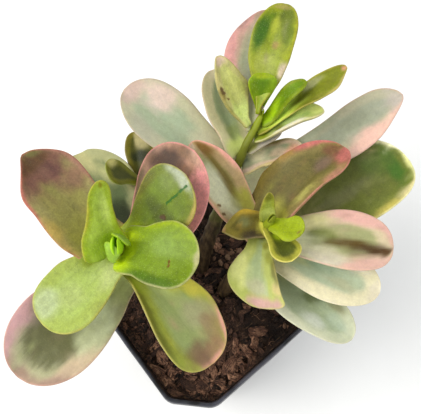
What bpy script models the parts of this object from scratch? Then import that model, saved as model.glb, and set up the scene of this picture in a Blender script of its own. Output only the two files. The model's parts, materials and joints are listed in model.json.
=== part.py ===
"""A potted crassula: a young variegated jade plant, rooted as four stems in a small square nursery pot.

The pot's floor is on Z = 0 with its centre at the origin, and its sides lie along X and Y.
Every size below is in millimetres and every angle in degrees. A mesh is scaled to metres as it is made.
"""

import math
from typing import NamedTuple

import bmesh
import bpy
from mathutils import Matrix, Vector
from mathutils.bvhtree import BVHTree

MM = 0.001
GAP = 0.3  # clearance between two pieces that touch

# Pot: a square with cut-off corners, thin-walled and tapering to its floor
POT_HEIGHT = 64
RIM_HALF = 35  # half the width across the rim's outside
FLOOR_HALF = 25
WALL = 1.1
LIP_HEIGHT = 4
LIP_REACH = 1.6  # how far the lip stands out from the wall
CORNER_CUT = 0.33  # cut-off corner, as a share of the half width
CORNER_SOFTNESS = 0.3  # share of each corner's edges that its rounding takes
DRAIN_RADIUS = 2.4
DRAIN_OFFSET = 13

# Soil
SOIL_TOP = 56.5
SOIL_BUMP = 1.0

# Bark: flat chips lying on the soil, each given as x, y, length and turn
BARK_THICKNESS = 1.6
BARK_SIDES = 7
BARK_CHIPS = (
    (-10, -27, 8, 20),
    (-27, -9, 7, 75),
    (-10, -13, 8.5, 140),
    (6, -24, 7, -35),
    (18, -12, 7.5, 60),
    (-20, 1, 6.5, 10),
    (16, 14, 8, 110),
    (-19, 22, 7, -20),
)

# Leaf skins, by tint
FRESH, PALE, BLUSHED, DARK = "fresh_leaf", "pale_leaf", "blushed_leaf", "dark_leaf"
TINTS = {
    FRESH: (0.27, 0.42, 0.06),
    PALE: (0.48, 0.55, 0.28),
    BLUSHED: (0.50, 0.25, 0.18),
    DARK: (0.11, 0.15, 0.06),
}
LEAF_ROUGHNESS = 0.4

LEAF_RINGS = 9
LEAF_SIDES = 10
SMALL_LEAF = 15  # a shorter leaf than this has fewer rings and sides
SMALL_LEAF_RINGS = 6
SMALL_LEAF_SIDES = 8
STEM_RESOLUTION = 2  # of its round section
STEM_STEP = 3  # spacing of a stem's points


class Stem(NamedTuple):
    name: str
    path: tuple  # four Bezier points, from the buried foot to the tip
    foot_radius: float
    tip_radius: float
    nodes: tuple  # heights of the swollen leaf nodes


class Leaf(NamedTuple):
    name: str
    tint: str
    height: float  # of its base, on the stem
    azimuth: float  # the way it points, anticlockwise from +X
    rise: float  # of the line from its base to its tip, above level
    length: float
    width: float
    bend: float  # how far it turns upwards from base to tip
    roll: float = 0  # about that line, positive lifts its left margin
    fold: float = 0.25  # height of its margins above the midrib, as a share of the half width
    thickness: float = 3.0
    neck: float = 0.42  # width of its base, as a share of the whole width
    belly: float = 0.64  # where along it the leaf is widest
    point: float = 0.5  # 0.5 is a round tip, and more is a pointed one


LEFT = Stem(
    "left_stem",
    ((-9, 15, 50), (-12, 18, 75), (-20, 16, 100), (-23, 6, 120)),
    foot_radius=3.2,
    tip_radius=1.7,
    nodes=(94, 101, 107, 112, 117),
)
RIGHT = Stem(
    "right_stem",
    ((6, -3, 50), (10, -6, 75), (15, -9, 100), (14.5, -12.5, 118)),
    foot_radius=3.2,
    tip_radius=1.7,
    nodes=(95, 100, 106, 112),
)
BACK = Stem(
    "back_stem",
    ((4, 9, 50), (10, 11, 80), (21, 9.5, 106), (34, 13.5, 133)),
    foot_radius=3.4,
    tip_radius=1.6,
    nodes=(102, 112, 123, 128),
)
LOW = Stem(
    "low_stem",
    ((-5, 24, 50), (-6, 27, 70), (-3, 31, 88), (0, 33, 99)),
    foot_radius=2.4,
    tip_radius=1.5,
    nodes=(84, 96),
)

LEAVES = (
    (
        LEFT,
        Leaf("left_back_leaf_low", PALE, 94, 77, 9, 38, 18, 5, roll=6),
        Leaf("left_side_leaf_large", PALE, 101, -164, 2, 41.5, 25, 8, roll=-18),
        Leaf("left_inner_leaf_blushed", BLUSHED, 101, 4, 43, 35.5, 22, 17),
        Leaf("left_back_leaf_blushed", BLUSHED, 107, 104, 42, 35.5, 18.5, 18, roll=6),
        Leaf("left_front_leaf", PALE, 107, -88, -8, 38, 20.5, -15, roll=-20),
        Leaf("left_side_leaf_fresh", FRESH, 112, -171, -4, 25.5, 18.5, 10),
        Leaf("left_inner_leaf_fresh", FRESH, 112, -3, 40, 26.5, 16.5, 15, roll=6),
        Leaf("left_top_leaf_slim", FRESH, 117, 79, 60, 17.5, 7.6, 12, neck=0.8, belly=0.4),
        Leaf("left_top_leaf_round", FRESH, 117, -59, 24, 21.7, 16, -10, roll=12),
        Leaf("left_bud_leaf_front", FRESH, 119.4, -165, 108, 5, 3.6, 10, thickness=1.6),
        Leaf("left_bud_leaf_back", FRESH, 119.4, 15, 108, 5, 3.6, 10, thickness=1.6),
    ),
    (
        BACK,
        Leaf("back_left_leaf_pale", PALE, 107.5, 114, 28, 40, 21.5, 14, roll=-3),
        Leaf("back_left_leaf_upright", PALE, 114, 71, 22, 27, 15, 8),
        Leaf("back_right_leaf_long", PALE, 102, -21, 26, 57, 15.5, 10, roll=8, point=0.6),
        Leaf("back_right_leaf_small", DARK, 111, -28, 13, 18, 9.5, 7),
        Leaf("back_right_leaf_pale", PALE, 116, -4, 18, 11.5, 7.5, 0, thickness=2.4),
        Leaf("back_top_leaf_blushed", BLUSHED, 122, 43, 25, 36.5, 19.5, 0, roll=-14, neck=0.32),
        Leaf("back_top_leaf_spoon", FRESH, 127.5, 38, 34, 30.5, 13, -4, roll=-8, neck=0.34),
        Leaf("back_top_leaf_left", FRESH, 123.5, 98, 46, 20, 8.5, 13, neck=0.5),
        Leaf("back_top_leaf_pointed", DARK, 126, -15, 21, 27.5, 8, 0, fold=0.5, neck=0.32, thickness=2),
        Leaf("back_top_leaf_right", PALE, 123.5, -33, 15, 18.5, 8, 0, roll=-10, thickness=2.2),
        Leaf("back_bud_leaf_round", FRESH, 131.2, 48, 42, 7.5, 8.4, 6, thickness=2),
        Leaf("back_bud_leaf_slim", FRESH, 131, -20, 22, 11.5, 4.5, 4, thickness=2.2),
    ),
    (
        RIGHT,
        Leaf("right_back_leaf_folded", BLUSHED, 104.5, 92, 30, 32.5, 14.5, 8, roll=10, fold=0.5),
        Leaf("right_upper_leaf_blushed", BLUSHED, 110, 2, 26, 30.5, 18, -12, roll=-20),
        Leaf("right_upper_leaf_dark", DARK, 98, -17, 20, 51, 20.5, 8, roll=6, neck=0.35),
        Leaf("right_side_leaf_upper", BLUSHED, 107, -50, 12, 34, 18.5, 5),
        Leaf("right_side_leaf_middle", PALE, 102, -69, 8, 35, 16.5, 7, roll=6),
        Leaf("right_side_leaf_lower", PALE, 95, -87, 5, 37, 14, 8, roll=8),
        Leaf("right_front_leaf_spoon", PALE, 110, -140, -14, 20, 16, -10, roll=10, neck=0.3, belly=0.72),
        Leaf("right_bud_leaf_left", DARK, 113.5, 140, 8, 11, 8, 0, thickness=2.2),
        Leaf("right_bud_leaf_cupped", DARK, 114.5, -104, 6, 10.5, 8.5, 4, thickness=2.2),
        Leaf("right_bud_leaf_round", FRESH, 117, -66, 22, 7.5, 8, 8, thickness=2.2),
        Leaf("right_bud_leaf_slim", FRESH, 115.8, 58, 58, 8, 4.5, 10, thickness=2, neck=0.7),
    ),
    (
        LOW,
        Leaf("low_leaf_back", DARK, 95.5, 62, 22, 18.5, 10, 8),
        Leaf("low_leaf_left", DARK, 98.6, 136, 46, 12.5, 9, 8, thickness=2.4),
    ),
)


def clear_scene():
    for obj in list(bpy.data.objects):
        bpy.data.objects.remove(obj, do_unlink=True)


def material(name, colour, roughness, metallic=0.0):
    made = bpy.data.materials.new(name)
    made.use_nodes = True
    shader = made.node_tree.nodes["Principled BSDF"]
    shader.inputs["Base Color"].default_value = (*colour, 1)
    shader.inputs["Roughness"].default_value = roughness
    shader.inputs["Metallic"].default_value = metallic
    return made


def add_object(name, data, finish):
    data.materials.append(finish)
    obj = bpy.data.objects.new(name, data)
    bpy.context.scene.collection.objects.link(obj)
    return obj


def bridge(mesh, lower, upper):
    count = len(lower)
    for side in range(count):
        after = (side + 1) % count
        mesh.faces.new((lower[side], lower[after], upper[after], upper[side]))


# Stems


def stem_point(stem, share):
    """The stem's centre at a share of its Bezier path."""
    foot, first, second, tip = (Vector(p) for p in stem.path)
    rest = 1 - share
    return rest**3 * foot + 3 * rest**2 * share * first + 3 * rest * share**2 * second + share**3 * tip


def share_at_height(stem, height):
    low, high = 0.0, 1.0
    for _ in range(40):
        middle = (low + high) / 2
        if stem_point(stem, middle).z < height:
            low = middle
        else:
            high = middle
    return low


def stem_direction(stem, height):
    share = share_at_height(stem, height)
    return (stem_point(stem, share + 0.01) - stem_point(stem, share - 0.01)).normalized()


def stem_radius(stem, height):
    """Tapers from the soil to the tip, and swells a little at each leaf node."""
    share = (height - SOIL_TOP) / (stem.path[-1][2] - SOIL_TOP)
    radius = stem.foot_radius + (stem.tip_radius - stem.foot_radius) * max(0, share)
    swelling = sum(math.exp(-(((height - node) / 1.6) ** 2)) for node in stem.nodes)
    return radius * (1 + 0.08 * min(1, swelling))


def make_stem(stem, finish):
    """A curve with a round section, whose radius follows the taper and the nodes."""
    foot, tip = stem.path[0][2], stem.path[-1][2]
    count = round((tip - foot) / STEM_STEP)
    curve = bpy.data.curves.new(stem.name, "CURVE")
    curve.dimensions = "3D"
    curve.bevel_depth = MM
    curve.bevel_resolution = STEM_RESOLUTION
    curve.use_fill_caps = True
    spline = curve.splines.new("POLY")
    spline.points.add(count)
    for number, point in enumerate(spline.points):
        height = foot + (tip - foot) * number / count
        centre = stem_point(stem, share_at_height(stem, height))
        point.co = (*(centre * MM), 1)
        point.radius = stem_radius(stem, height)
    spline.points[-1].radius *= 0.55
    return add_object(stem.name, curve, finish)


# Leaves


def leaf_frames(stem, leaf, count):
    """(share, centre, along, across, up) at each ring, from the base to the tip."""
    azimuth, rise, bend, roll = (math.radians(a) for a in (leaf.azimuth, leaf.rise, leaf.bend, leaf.roll))
    outward = Vector((math.cos(azimuth), math.sin(azimuth), 0))
    level = Vector((-math.sin(azimuth), math.cos(azimuth), 0))
    chord = outward * math.cos(rise) + Vector((0, 0, math.sin(rise)))
    turn = Matrix.Rotation(roll, 3, chord)
    across = turn @ level
    lift = turn @ chord.cross(level)
    stem_axis = stem_direction(stem, leaf.height)
    start = chord * math.cos(bend / 2) - lift * math.sin(bend / 2)
    seat = stem_radius(stem, leaf.height) + GAP + leaf.thickness * 0.5 * abs(start.dot(stem_axis))
    away = (outward - stem_axis * outward.dot(stem_axis)).normalized()
    centre = stem_point(stem, share_at_height(stem, leaf.height)) + away * seat
    frames = []
    last = 0
    for ring in range(count + 1):
        share = math.sin(math.pi / 2 * ring / count)  # rings lie closer towards the tip
        middle = ((last + share) / 2 - 0.5) * bend
        centre += (chord * math.cos(middle) + lift * math.sin(middle)) * leaf.length * (share - last)
        angle = (share - 0.5) * bend
        along = chord * math.cos(angle) + lift * math.sin(angle)
        frames.append((share, centre.copy(), along, across, along.cross(across)))
        last = share
    return frames


def half_width(leaf, share):
    """Narrow at the base, widest at the belly, and rounded or pointed at the tip."""
    if share < leaf.belly:
        growth = math.sin(share / leaf.belly * math.pi / 2) ** 1.6
        return leaf.width / 2 * (leaf.neck + (1 - leaf.neck) * growth)
    past = (share - leaf.belly) / (1 - leaf.belly)
    return leaf.width / 2 * max(0, 1 - past**2.1) ** leaf.point


def half_thickness(leaf, share):
    return leaf.thickness / 2 * (0.8 + 0.2 * math.sin(share * math.pi)) * max(0, 1 - share**5) ** 0.5


def make_leaf(stem, leaf, finish):
    """A fleshy blade: oval rings along its midrib, bridged, with a closed base and tip."""
    small = leaf.length < SMALL_LEAF
    count = SMALL_LEAF_RINGS if small else LEAF_RINGS
    sides = SMALL_LEAF_SIDES if small else LEAF_SIDES
    mesh = bmesh.new()
    rings = []
    for share, centre, along, across, up in leaf_frames(stem, leaf, count):
        share = min(share, 0.995)
        wide, thick = half_width(leaf, share), half_thickness(leaf, share)
        ring = []
        for side in range(sides):
            angle = 2 * math.pi * side / sides
            reach = math.cos(angle)
            height = thick * math.sin(angle) + leaf.fold * wide * abs(reach) ** 1.5
            ring.append(mesh.verts.new((centre + across * reach * wide + up * height) * MM))
        rings.append(ring)
    for lower, upper in zip(rings, rings[1:]):
        bridge(mesh, lower, upper)
    mesh.faces.new(reversed(rings[0]))
    mesh.faces.new(rings[-1])
    bmesh.ops.recalc_face_normals(mesh, faces=mesh.faces)
    data = bpy.data.meshes.new(leaf.name)
    mesh.to_mesh(data)
    mesh.free()
    data.shade_smooth()
    return add_object(leaf.name, data, finish)


# Pot and soil


def square_outline(half, height):
    """A square outline with cut-off corners, each softened, anticlockwise from +X."""
    cut = half * CORNER_CUT
    soft = cut * CORNER_SOFTNESS
    points = []
    for quarter in range(4):
        turn = Matrix.Rotation(quarter * math.pi / 2, 3, "Z")
        before, after = Vector((half, half - cut, height)), Vector((half - cut, half, height))
        diagonal = (after - before).normalized()
        for point in (
            before - Vector((0, soft, 0)),
            before + diagonal * soft,
            after - diagonal * soft,
            after - Vector((soft, 0, 0)),
        ):
            points.append(turn @ point)
    return points


def add_ring(mesh, half, height):
    return [mesh.verts.new(point * MM) for point in square_outline(half, height)]


def wall_half(height):
    """Half width across the outside of the wall."""
    top = RIM_HALF - LIP_REACH
    return FLOOR_HALF + (top - FLOOR_HALF) * height / POT_HEIGHT


def make_cutter(name, mesh):
    data = bpy.data.meshes.new(name)
    mesh.to_mesh(data)
    mesh.free()
    cutter = bpy.data.objects.new(name, data)
    bpy.context.scene.collection.objects.link(cutter)
    cutter.hide_render = True
    cutter.display_type = "WIRE"
    return cutter


def cut(obj, cutter):
    boolean = obj.modifiers.new("cut_" + cutter.name, "BOOLEAN")
    boolean.operation = "DIFFERENCE"
    boolean.object = cutter


def make_pot(finish):
    mesh = bmesh.new()
    lip_bottom = POT_HEIGHT - LIP_HEIGHT
    rings = [
        add_ring(mesh, FLOOR_HALF - 1, 0),
        add_ring(mesh, wall_half(1), 1),
        add_ring(mesh, wall_half(lip_bottom), lip_bottom),
        add_ring(mesh, RIM_HALF - 0.3, lip_bottom + 0.3),
        add_ring(mesh, RIM_HALF, POT_HEIGHT - 0.6),
        add_ring(mesh, RIM_HALF - 0.6, POT_HEIGHT),
        add_ring(mesh, RIM_HALF - LIP_REACH - WALL + 0.5, POT_HEIGHT),
        add_ring(mesh, wall_half(POT_HEIGHT - 1) - WALL, POT_HEIGHT - 1),
        add_ring(mesh, wall_half(WALL) - WALL, WALL),
    ]
    for lower, upper in zip(rings, rings[1:]):
        bridge(mesh, lower, upper)
    mesh.faces.new(reversed(rings[0]))
    mesh.faces.new(rings[-1])
    bmesh.ops.recalc_face_normals(mesh, faces=mesh.faces)
    data = bpy.data.meshes.new("pot")
    mesh.to_mesh(data)
    mesh.free()
    pot = add_object("pot", data, finish)
    holes = bmesh.new()
    for x in (-DRAIN_OFFSET, DRAIN_OFFSET):
        for y in (-DRAIN_OFFSET, DRAIN_OFFSET):
            bmesh.ops.create_cone(
                holes,
                cap_ends=True,
                segments=12,
                radius1=DRAIN_RADIUS * MM,
                radius2=DRAIN_RADIUS * MM,
                depth=4 * WALL * MM,
                matrix=Matrix.Translation(Vector((x, y, 0)) * MM),
            )
    cut(pot, make_cutter("drain_hole_cutter", holes))
    return pot


def soil_height(x, y):
    """A lumpy surface that rises a little towards the stems."""
    lumps = math.sin(x * 0.31 + 1.3) * math.cos(y * 0.27 - 0.6) + 0.5 * math.sin(x * 0.71 - y * 0.53)
    return SOIL_TOP + SOIL_BUMP * lumps * 0.5 + 1.2 * math.exp(-(x * x + y * y) / 300)


def make_soil(finish):
    mesh = bmesh.new()
    inset = WALL + GAP
    bottom = add_ring(mesh, wall_half(WALL + GAP) - inset, WALL + GAP)
    edge_height = SOIL_TOP - 0.8
    top_half = wall_half(edge_height) - inset
    rings = [bottom]
    for share in (1.0, 0.72, 0.44, 0.18):
        ring = []
        for point in square_outline(top_half * share, 0):
            point.z = soil_height(point.x, point.y) if share < 1 else edge_height
            ring.append(mesh.verts.new(point * MM))
        rings.append(ring)
    for lower, upper in zip(rings, rings[1:]):
        bridge(mesh, lower, upper)
    mesh.faces.new(reversed(bottom))
    mesh.faces.new(rings[-1])
    bmesh.ops.recalc_face_normals(mesh, faces=mesh.faces)
    bmesh.ops.triangulate(mesh, faces=mesh.faces)
    data = bpy.data.meshes.new("soil")
    mesh.to_mesh(data)
    mesh.free()
    return add_object("soil", data, finish)


def make_stem_socket(stem):
    """The hole that a stem's foot leaves in the soil, wider than the stem by the clearance."""
    holes = bmesh.new()
    foot, lifted = stem.path[0][2], SOIL_TOP + 4
    low, high = (stem_point(stem, share_at_height(stem, h)) for h in (foot, lifted))
    axis = high - low
    turn = axis.to_track_quat("Z", "Y").to_matrix().to_4x4()
    radius = (stem.foot_radius + GAP + 0.35) * MM
    bmesh.ops.create_cone(
        holes,
        cap_ends=True,
        segments=16,
        radius1=radius,
        radius2=radius,
        depth=(axis.length + 3 * GAP) * MM,
        matrix=Matrix.Translation((low + high) / 2 * MM) @ turn,
    )
    return make_cutter(stem.name + "_socket_cutter", holes)


def lowest_clearance(chip, ground):
    """The least height of the chip's underside above the ground, met along rays straight down."""
    least = 1.0
    corners = [vert.co for vert in chip.verts if vert.co.z < 0]
    middle = sum(corners, Vector()) / len(corners)
    for corner in corners:
        for step in range(5):
            point = middle.lerp(corner, step / 4)
            hit = ground.ray_cast(point + Vector((0, 0, 80 * MM)), Vector((0, 0, -1)))[0]
            least = min(least, point.z - hit.z)
    return least


def make_bark_chip(number, x, y, length, turn, ground, finish):
    """An irregular flat chip with sloping sides, let down until it all but touches the soil."""
    mesh = bmesh.new()
    rings = []
    for level, spread in ((-0.5, 0.82), (0.1, 1.0), (0.5, 0.75)):
        ring = []
        for side in range(BARK_SIDES):
            angle = 2 * math.pi * side / BARK_SIDES
            uneven = 1 + 0.16 * math.sin(side * 2.4 + number * 1.7)
            reach = length / 2 * spread * uneven
            point = Vector((math.cos(angle) * reach, math.sin(angle) * reach * 0.6, level * BARK_THICKNESS))
            ring.append(mesh.verts.new(point * MM))
        rings.append(ring)
    for lower, upper in zip(rings, rings[1:]):
        bridge(mesh, lower, upper)
    mesh.faces.new(reversed(rings[0]))
    mesh.faces.new(rings[-1])
    bmesh.ops.recalc_face_normals(mesh, faces=mesh.faces)
    place = Matrix.Translation(Vector((x, y, 0)) * MM) @ Matrix.Rotation(math.radians(turn), 4, "Z")
    bmesh.ops.transform(mesh, matrix=place, verts=mesh.verts)
    drop = lowest_clearance(mesh, ground) - (GAP + 0.1) * MM
    bmesh.ops.translate(mesh, vec=(0, 0, -drop), verts=mesh.verts)
    data = bpy.data.meshes.new(f"bark_chip_{number}")
    mesh.to_mesh(data)
    mesh.free()
    return add_object(data.name, data, finish)


def main():
    clear_scene()
    black_plastic = material("black_plastic", (0.02, 0.02, 0.022), 0.45)
    potting_soil = material("potting_soil", (0.09, 0.06, 0.045), 0.95)
    stem_skin = material("stem_skin", (0.3, 0.33, 0.12), 0.55)
    bark = material("bark", (0.2, 0.11, 0.07), 0.9)
    skins = {tint: material(tint, colour, LEAF_ROUGHNESS) for tint, colour in TINTS.items()}
    make_pot(black_plastic)
    soil = make_soil(potting_soil)
    for stem, *leaves in LEAVES:
        make_stem(stem, stem_skin)
        cut(soil, make_stem_socket(stem))
        for leaf in leaves:
            make_leaf(stem, leaf, skins[leaf.tint])
    ground = BVHTree.FromObject(soil, bpy.context.evaluated_depsgraph_get())
    for number, chip in enumerate(BARK_CHIPS, 1):
        make_bark_chip(number, *chip, ground, bark)


main()
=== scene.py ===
"""The looks of the potted crassula: a young variegated jade plant in a small square nursery pot.

Lengths are in millimetres wherever a value is multiplied by MM, and in metres otherwise.
"""

import json
import math
import random
from typing import NamedTuple

import bpy
import numpy as np
from mathutils import Matrix, Vector, noise
from mathutils.bvhtree import BVHTree


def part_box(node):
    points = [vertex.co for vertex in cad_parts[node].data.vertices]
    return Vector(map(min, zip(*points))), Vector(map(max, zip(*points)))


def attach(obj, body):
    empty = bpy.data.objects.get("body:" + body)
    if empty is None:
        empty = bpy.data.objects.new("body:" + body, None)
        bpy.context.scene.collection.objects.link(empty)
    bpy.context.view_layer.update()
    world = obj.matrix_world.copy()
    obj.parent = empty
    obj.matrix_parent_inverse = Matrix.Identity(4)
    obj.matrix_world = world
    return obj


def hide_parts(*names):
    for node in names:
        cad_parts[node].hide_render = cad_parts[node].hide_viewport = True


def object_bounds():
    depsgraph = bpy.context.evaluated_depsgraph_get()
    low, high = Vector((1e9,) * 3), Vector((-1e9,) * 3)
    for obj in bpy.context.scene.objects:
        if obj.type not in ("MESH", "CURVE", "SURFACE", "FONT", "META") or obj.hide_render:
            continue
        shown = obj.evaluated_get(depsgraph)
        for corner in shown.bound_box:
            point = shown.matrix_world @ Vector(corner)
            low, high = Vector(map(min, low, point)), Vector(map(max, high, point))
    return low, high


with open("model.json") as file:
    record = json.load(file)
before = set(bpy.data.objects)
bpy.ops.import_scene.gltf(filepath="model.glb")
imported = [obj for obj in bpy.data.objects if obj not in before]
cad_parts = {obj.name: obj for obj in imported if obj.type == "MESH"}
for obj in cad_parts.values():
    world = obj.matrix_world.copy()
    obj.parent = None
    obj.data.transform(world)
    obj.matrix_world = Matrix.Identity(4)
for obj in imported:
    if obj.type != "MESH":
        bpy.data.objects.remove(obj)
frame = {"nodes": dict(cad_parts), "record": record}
cad_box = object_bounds()

MM = 0.001
SLOTS = {part["node"]: part["material_slot"] for part in frame["record"]["subparts"]}
RIM_HALF, RIM_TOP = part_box("pot")[1].x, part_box("pot")[1].z


# Handling pieces


def deselect():
    bpy.ops.object.select_all(action="DESELECT")


def pick(piece):
    """Makes a piece the only selected object, and the active one."""
    deselect()
    piece.select_set(True)
    bpy.context.view_layer.objects.active = piece


def edit(piece):
    pick(piece)
    bpy.ops.object.mode_set(mode="EDIT")


def edit_all(piece):
    """Opens a piece for editing with all of it selected."""
    edit(piece)
    bpy.ops.mesh.select_all(action="SELECT")


def leave_edit():
    bpy.ops.object.mode_set(mode="OBJECT")


def add_object(name, data):
    added = bpy.data.objects.new(name, data)
    bpy.context.scene.collection.objects.link(added)
    return added


def named(name):
    """Names the active object and puts its place into its mesh."""
    piece = bpy.context.active_object
    piece.name = piece.data.name = name
    bpy.ops.object.transform_apply(location=True, rotation=True, scale=True)
    return piece


def select_only(piece, kind, test):
    """In edit mode, selects the edges or faces that pass a test on their points and a face's normal."""
    leave_edit()
    bpy.context.tool_settings.mesh_select_mode = (False, kind == "EDGE", kind == "FACE")
    mesh = piece.data
    for group in (mesh.vertices, mesh.edges, mesh.polygons):
        group.foreach_set("select", [False] * len(group))
    for item in mesh.polygons if kind == "FACE" else mesh.edges:
        points = [mesh.vertices[i].co for i in item.vertices]
        item.select = test(points, item.normal) if kind == "FACE" else test(points)
    bpy.ops.object.mode_set(mode="EDIT")


def apply_modifier(piece, name, kind, **settings):
    pick(piece)
    modifier = piece.modifiers.new(name, kind)
    for key, value in settings.items():
        setattr(modifier, key, value)
    bpy.ops.object.modifier_apply(modifier=name)


def copy_node(node, name):
    """A new piece with a CAD node's mesh, its loose triangles merged."""
    piece = add_object(name, frame["nodes"][node].data.copy())
    piece.data.materials.clear()
    edit_all(piece)
    bpy.ops.mesh.remove_doubles(threshold=0.001 * MM)
    bpy.ops.mesh.tris_convert_to_quads(face_threshold=math.radians(60), shape_threshold=math.radians(60))
    leave_edit()
    return piece


def points_of(piece):
    points = np.empty(len(piece.data.vertices) * 3)
    piece.data.vertices.foreach_get("co", points)
    return points.reshape(-1, 3)


def move_points(piece, points):
    piece.data.vertices.foreach_set("co", np.ascontiguousarray(points, dtype=float).ravel())
    piece.data.update()


def table(*columns):
    """Columns side by side. A plain number fills its column."""
    return np.stack(np.broadcast_arrays(*columns), axis=1)


def write_numbers(piece, name, values):
    """An attribute with a number for each point, or the same one for all of them."""
    attribute = piece.data.attributes.new(name, "FLOAT", "POINT")
    attribute.data.foreach_set("value", np.broadcast_to(values, len(attribute.data)).astype(np.float32))


def write_colours(piece, name, colours):
    """An attribute with a linear colour for each point, or the same one for all of them."""
    attribute = piece.data.attributes.new(name, "FLOAT_COLOR", "POINT")
    opaque = np.ones((len(attribute.data), 4), dtype=np.float32)
    opaque[:, :3] = colours
    attribute.data.foreach_set("color", opaque.ravel())


def write_uv(piece, name, points):
    """A UV map with one (u, v) for each point of the mesh."""
    layer = piece.data.uv_layers.new(name=name)
    corners = np.empty(len(piece.data.loops), dtype=int)
    piece.data.loops.foreach_get("vertex_index", corners)
    layer.data.foreach_set("uv", np.asarray(points, dtype=np.float32)[corners].ravel())


def finish_piece(piece, finish, slot, *nodes):
    """Gives a finished piece its material and its body, and hides the CAD nodes that it stands for. Its slot
    is not used.
    """
    piece.data.materials.clear()
    piece.data.materials.append(finish)
    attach(piece, "root")
    if nodes:
        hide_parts(*nodes)


# Colour and noise

WAX_CLEARNESS = 0.93
WAX_GLOSS = 0.022
DARKEST = 0.003


def linear(hex_colour):
    """A hex colour as linear red, green and blue."""
    parts = [int(hex_colour[i : i + 2], 16) / 255 for i in (0, 2, 4)]
    return np.array([p / 12.92 if p <= 0.04045 else ((p + 0.055) / 1.055) ** 2.4 for p in parts])


def pigment(hex_colour):
    """A leaf's colour with the pale gloss of its wax taken off."""
    return np.maximum(linear(hex_colour) * WAX_CLEARNESS - WAX_GLOSS, DARKEST)


def smooth_step(value, low, high):
    share = np.clip((value - low) / (high - low), 0, 1)
    return share * share * (3 - 2 * share)


def field(points, seed):
    """Smooth noise from about -1 to 1 at each point."""
    shift = Vector((seed * 3.17, seed * 7.31, seed * 1.93))
    return np.array([noise.noise(Vector(p) + shift) for p in points])


# Wiring finishes


class Wire:
    """A node's output socket. Arithmetic on it adds Math nodes."""

    def __init__(self, finish, socket):
        self.finish = finish
        self.socket = socket

    def maths(self, operation, *values):
        return self.finish.node("ShaderNodeMath", {"operation": operation}, dict(enumerate(values)))

    def __add__(self, other):
        return self.maths("ADD", self, other)

    def __sub__(self, other):
        return self.maths("SUBTRACT", self, other)

    def __rsub__(self, other):
        return self.maths("SUBTRACT", other, self)

    def __mul__(self, other):
        return self.maths("MULTIPLY", self, other)

    __radd__ = __add__
    __rmul__ = __mul__

    def step(self, low, high):
        """0 below low, 1 above high, and smooth between them."""
        inputs = {"Value": self, "From Min": low, "From Max": high}
        return self.finish.node("ShaderNodeMapRange", {"interpolation_type": "SMOOTHSTEP"}, inputs)


class Finish:
    """A material whose nodes are being wired."""

    def __init__(self, name, **constants):
        self.material = bpy.data.materials.new(name)
        self.material.use_nodes = True
        self.tree = self.material.node_tree
        self.shader = self.tree.nodes["Principled BSDF"]
        for socket, value in constants.items():
            self.shader.inputs[socket.replace("_", " ")].default_value = value

    def plug(self, socket, value):
        if isinstance(value, Wire):
            self.tree.links.new(value.socket, socket)
        else:
            socket.default_value = value

    def node(self, kind, settings=None, inputs=None, output=0):
        """Adds a node: its settings first, then the values or wires of its sockets, and gives one output."""
        made = self.tree.nodes.new(kind)
        for key, value in (settings or {}).items():
            setattr(made, key, value)
        for key, value in (inputs or {}).items():
            self.plug(made.inputs[key], value)
        return Wire(self, made.outputs[output])

    def attribute(self, name, output="Fac"):
        return self.node("ShaderNodeAttribute", {"attribute_name": name}, output=output)

    def uv_place(self, name):
        return self.node("ShaderNodeUVMap", {"uv_map": name})

    def objects_place(self):
        return self.node("ShaderNodeTexCoord", output="Object")

    def mapped(self, place, scale):
        """A place stretched by a scale for each axis."""
        return self.node("ShaderNodeMapping", None, {"Vector": place, "Scale": scale})

    def noise(self, place, scale, detail=2.0, roughness=0.5, distortion=0.0):
        inputs = {"Vector": place, "Scale": scale, "Detail": detail}
        inputs |= {"Roughness": roughness, "Distortion": distortion}
        return self.node("ShaderNodeTexNoise", None, inputs)

    def cells(self, place, scale):
        """Distance from the middle of the nearest of many small cells."""
        return self.node("ShaderNodeTexVoronoi", None, {"Vector": place, "Scale": scale})

    def vector(self, operation, first, second, output="Vector"):
        """Vector Math on two vectors, or on a vector and the number that it is scaled by."""
        other = "Scale" if operation == "SCALE" else 1
        return self.node("ShaderNodeVectorMath", {"operation": operation}, {0: first, other: second}, output)

    def mix(self, first, second, share):
        """Mixes two colours, each a wire or a hex colour."""
        first, second = (tone if isinstance(tone, Wire) else (*linear(tone), 1) for tone in (first, second))
        return self.node("ShaderNodeMix", {"data_type": "RGBA"}, {0: share, 6: first, 7: second}, output=2)

    def bump(self, height, distance, strength):
        inputs = {"Height": height, "Distance": distance, "Strength": strength}
        return self.node("ShaderNodeBump", None, inputs)

    def cover(self, **sockets):
        """Feeds the shader's sockets."""
        for name, value in sockets.items():
            self.plug(self.shader.inputs[name.replace("_", " ")], value)
        return self.material


# Finishes


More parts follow.
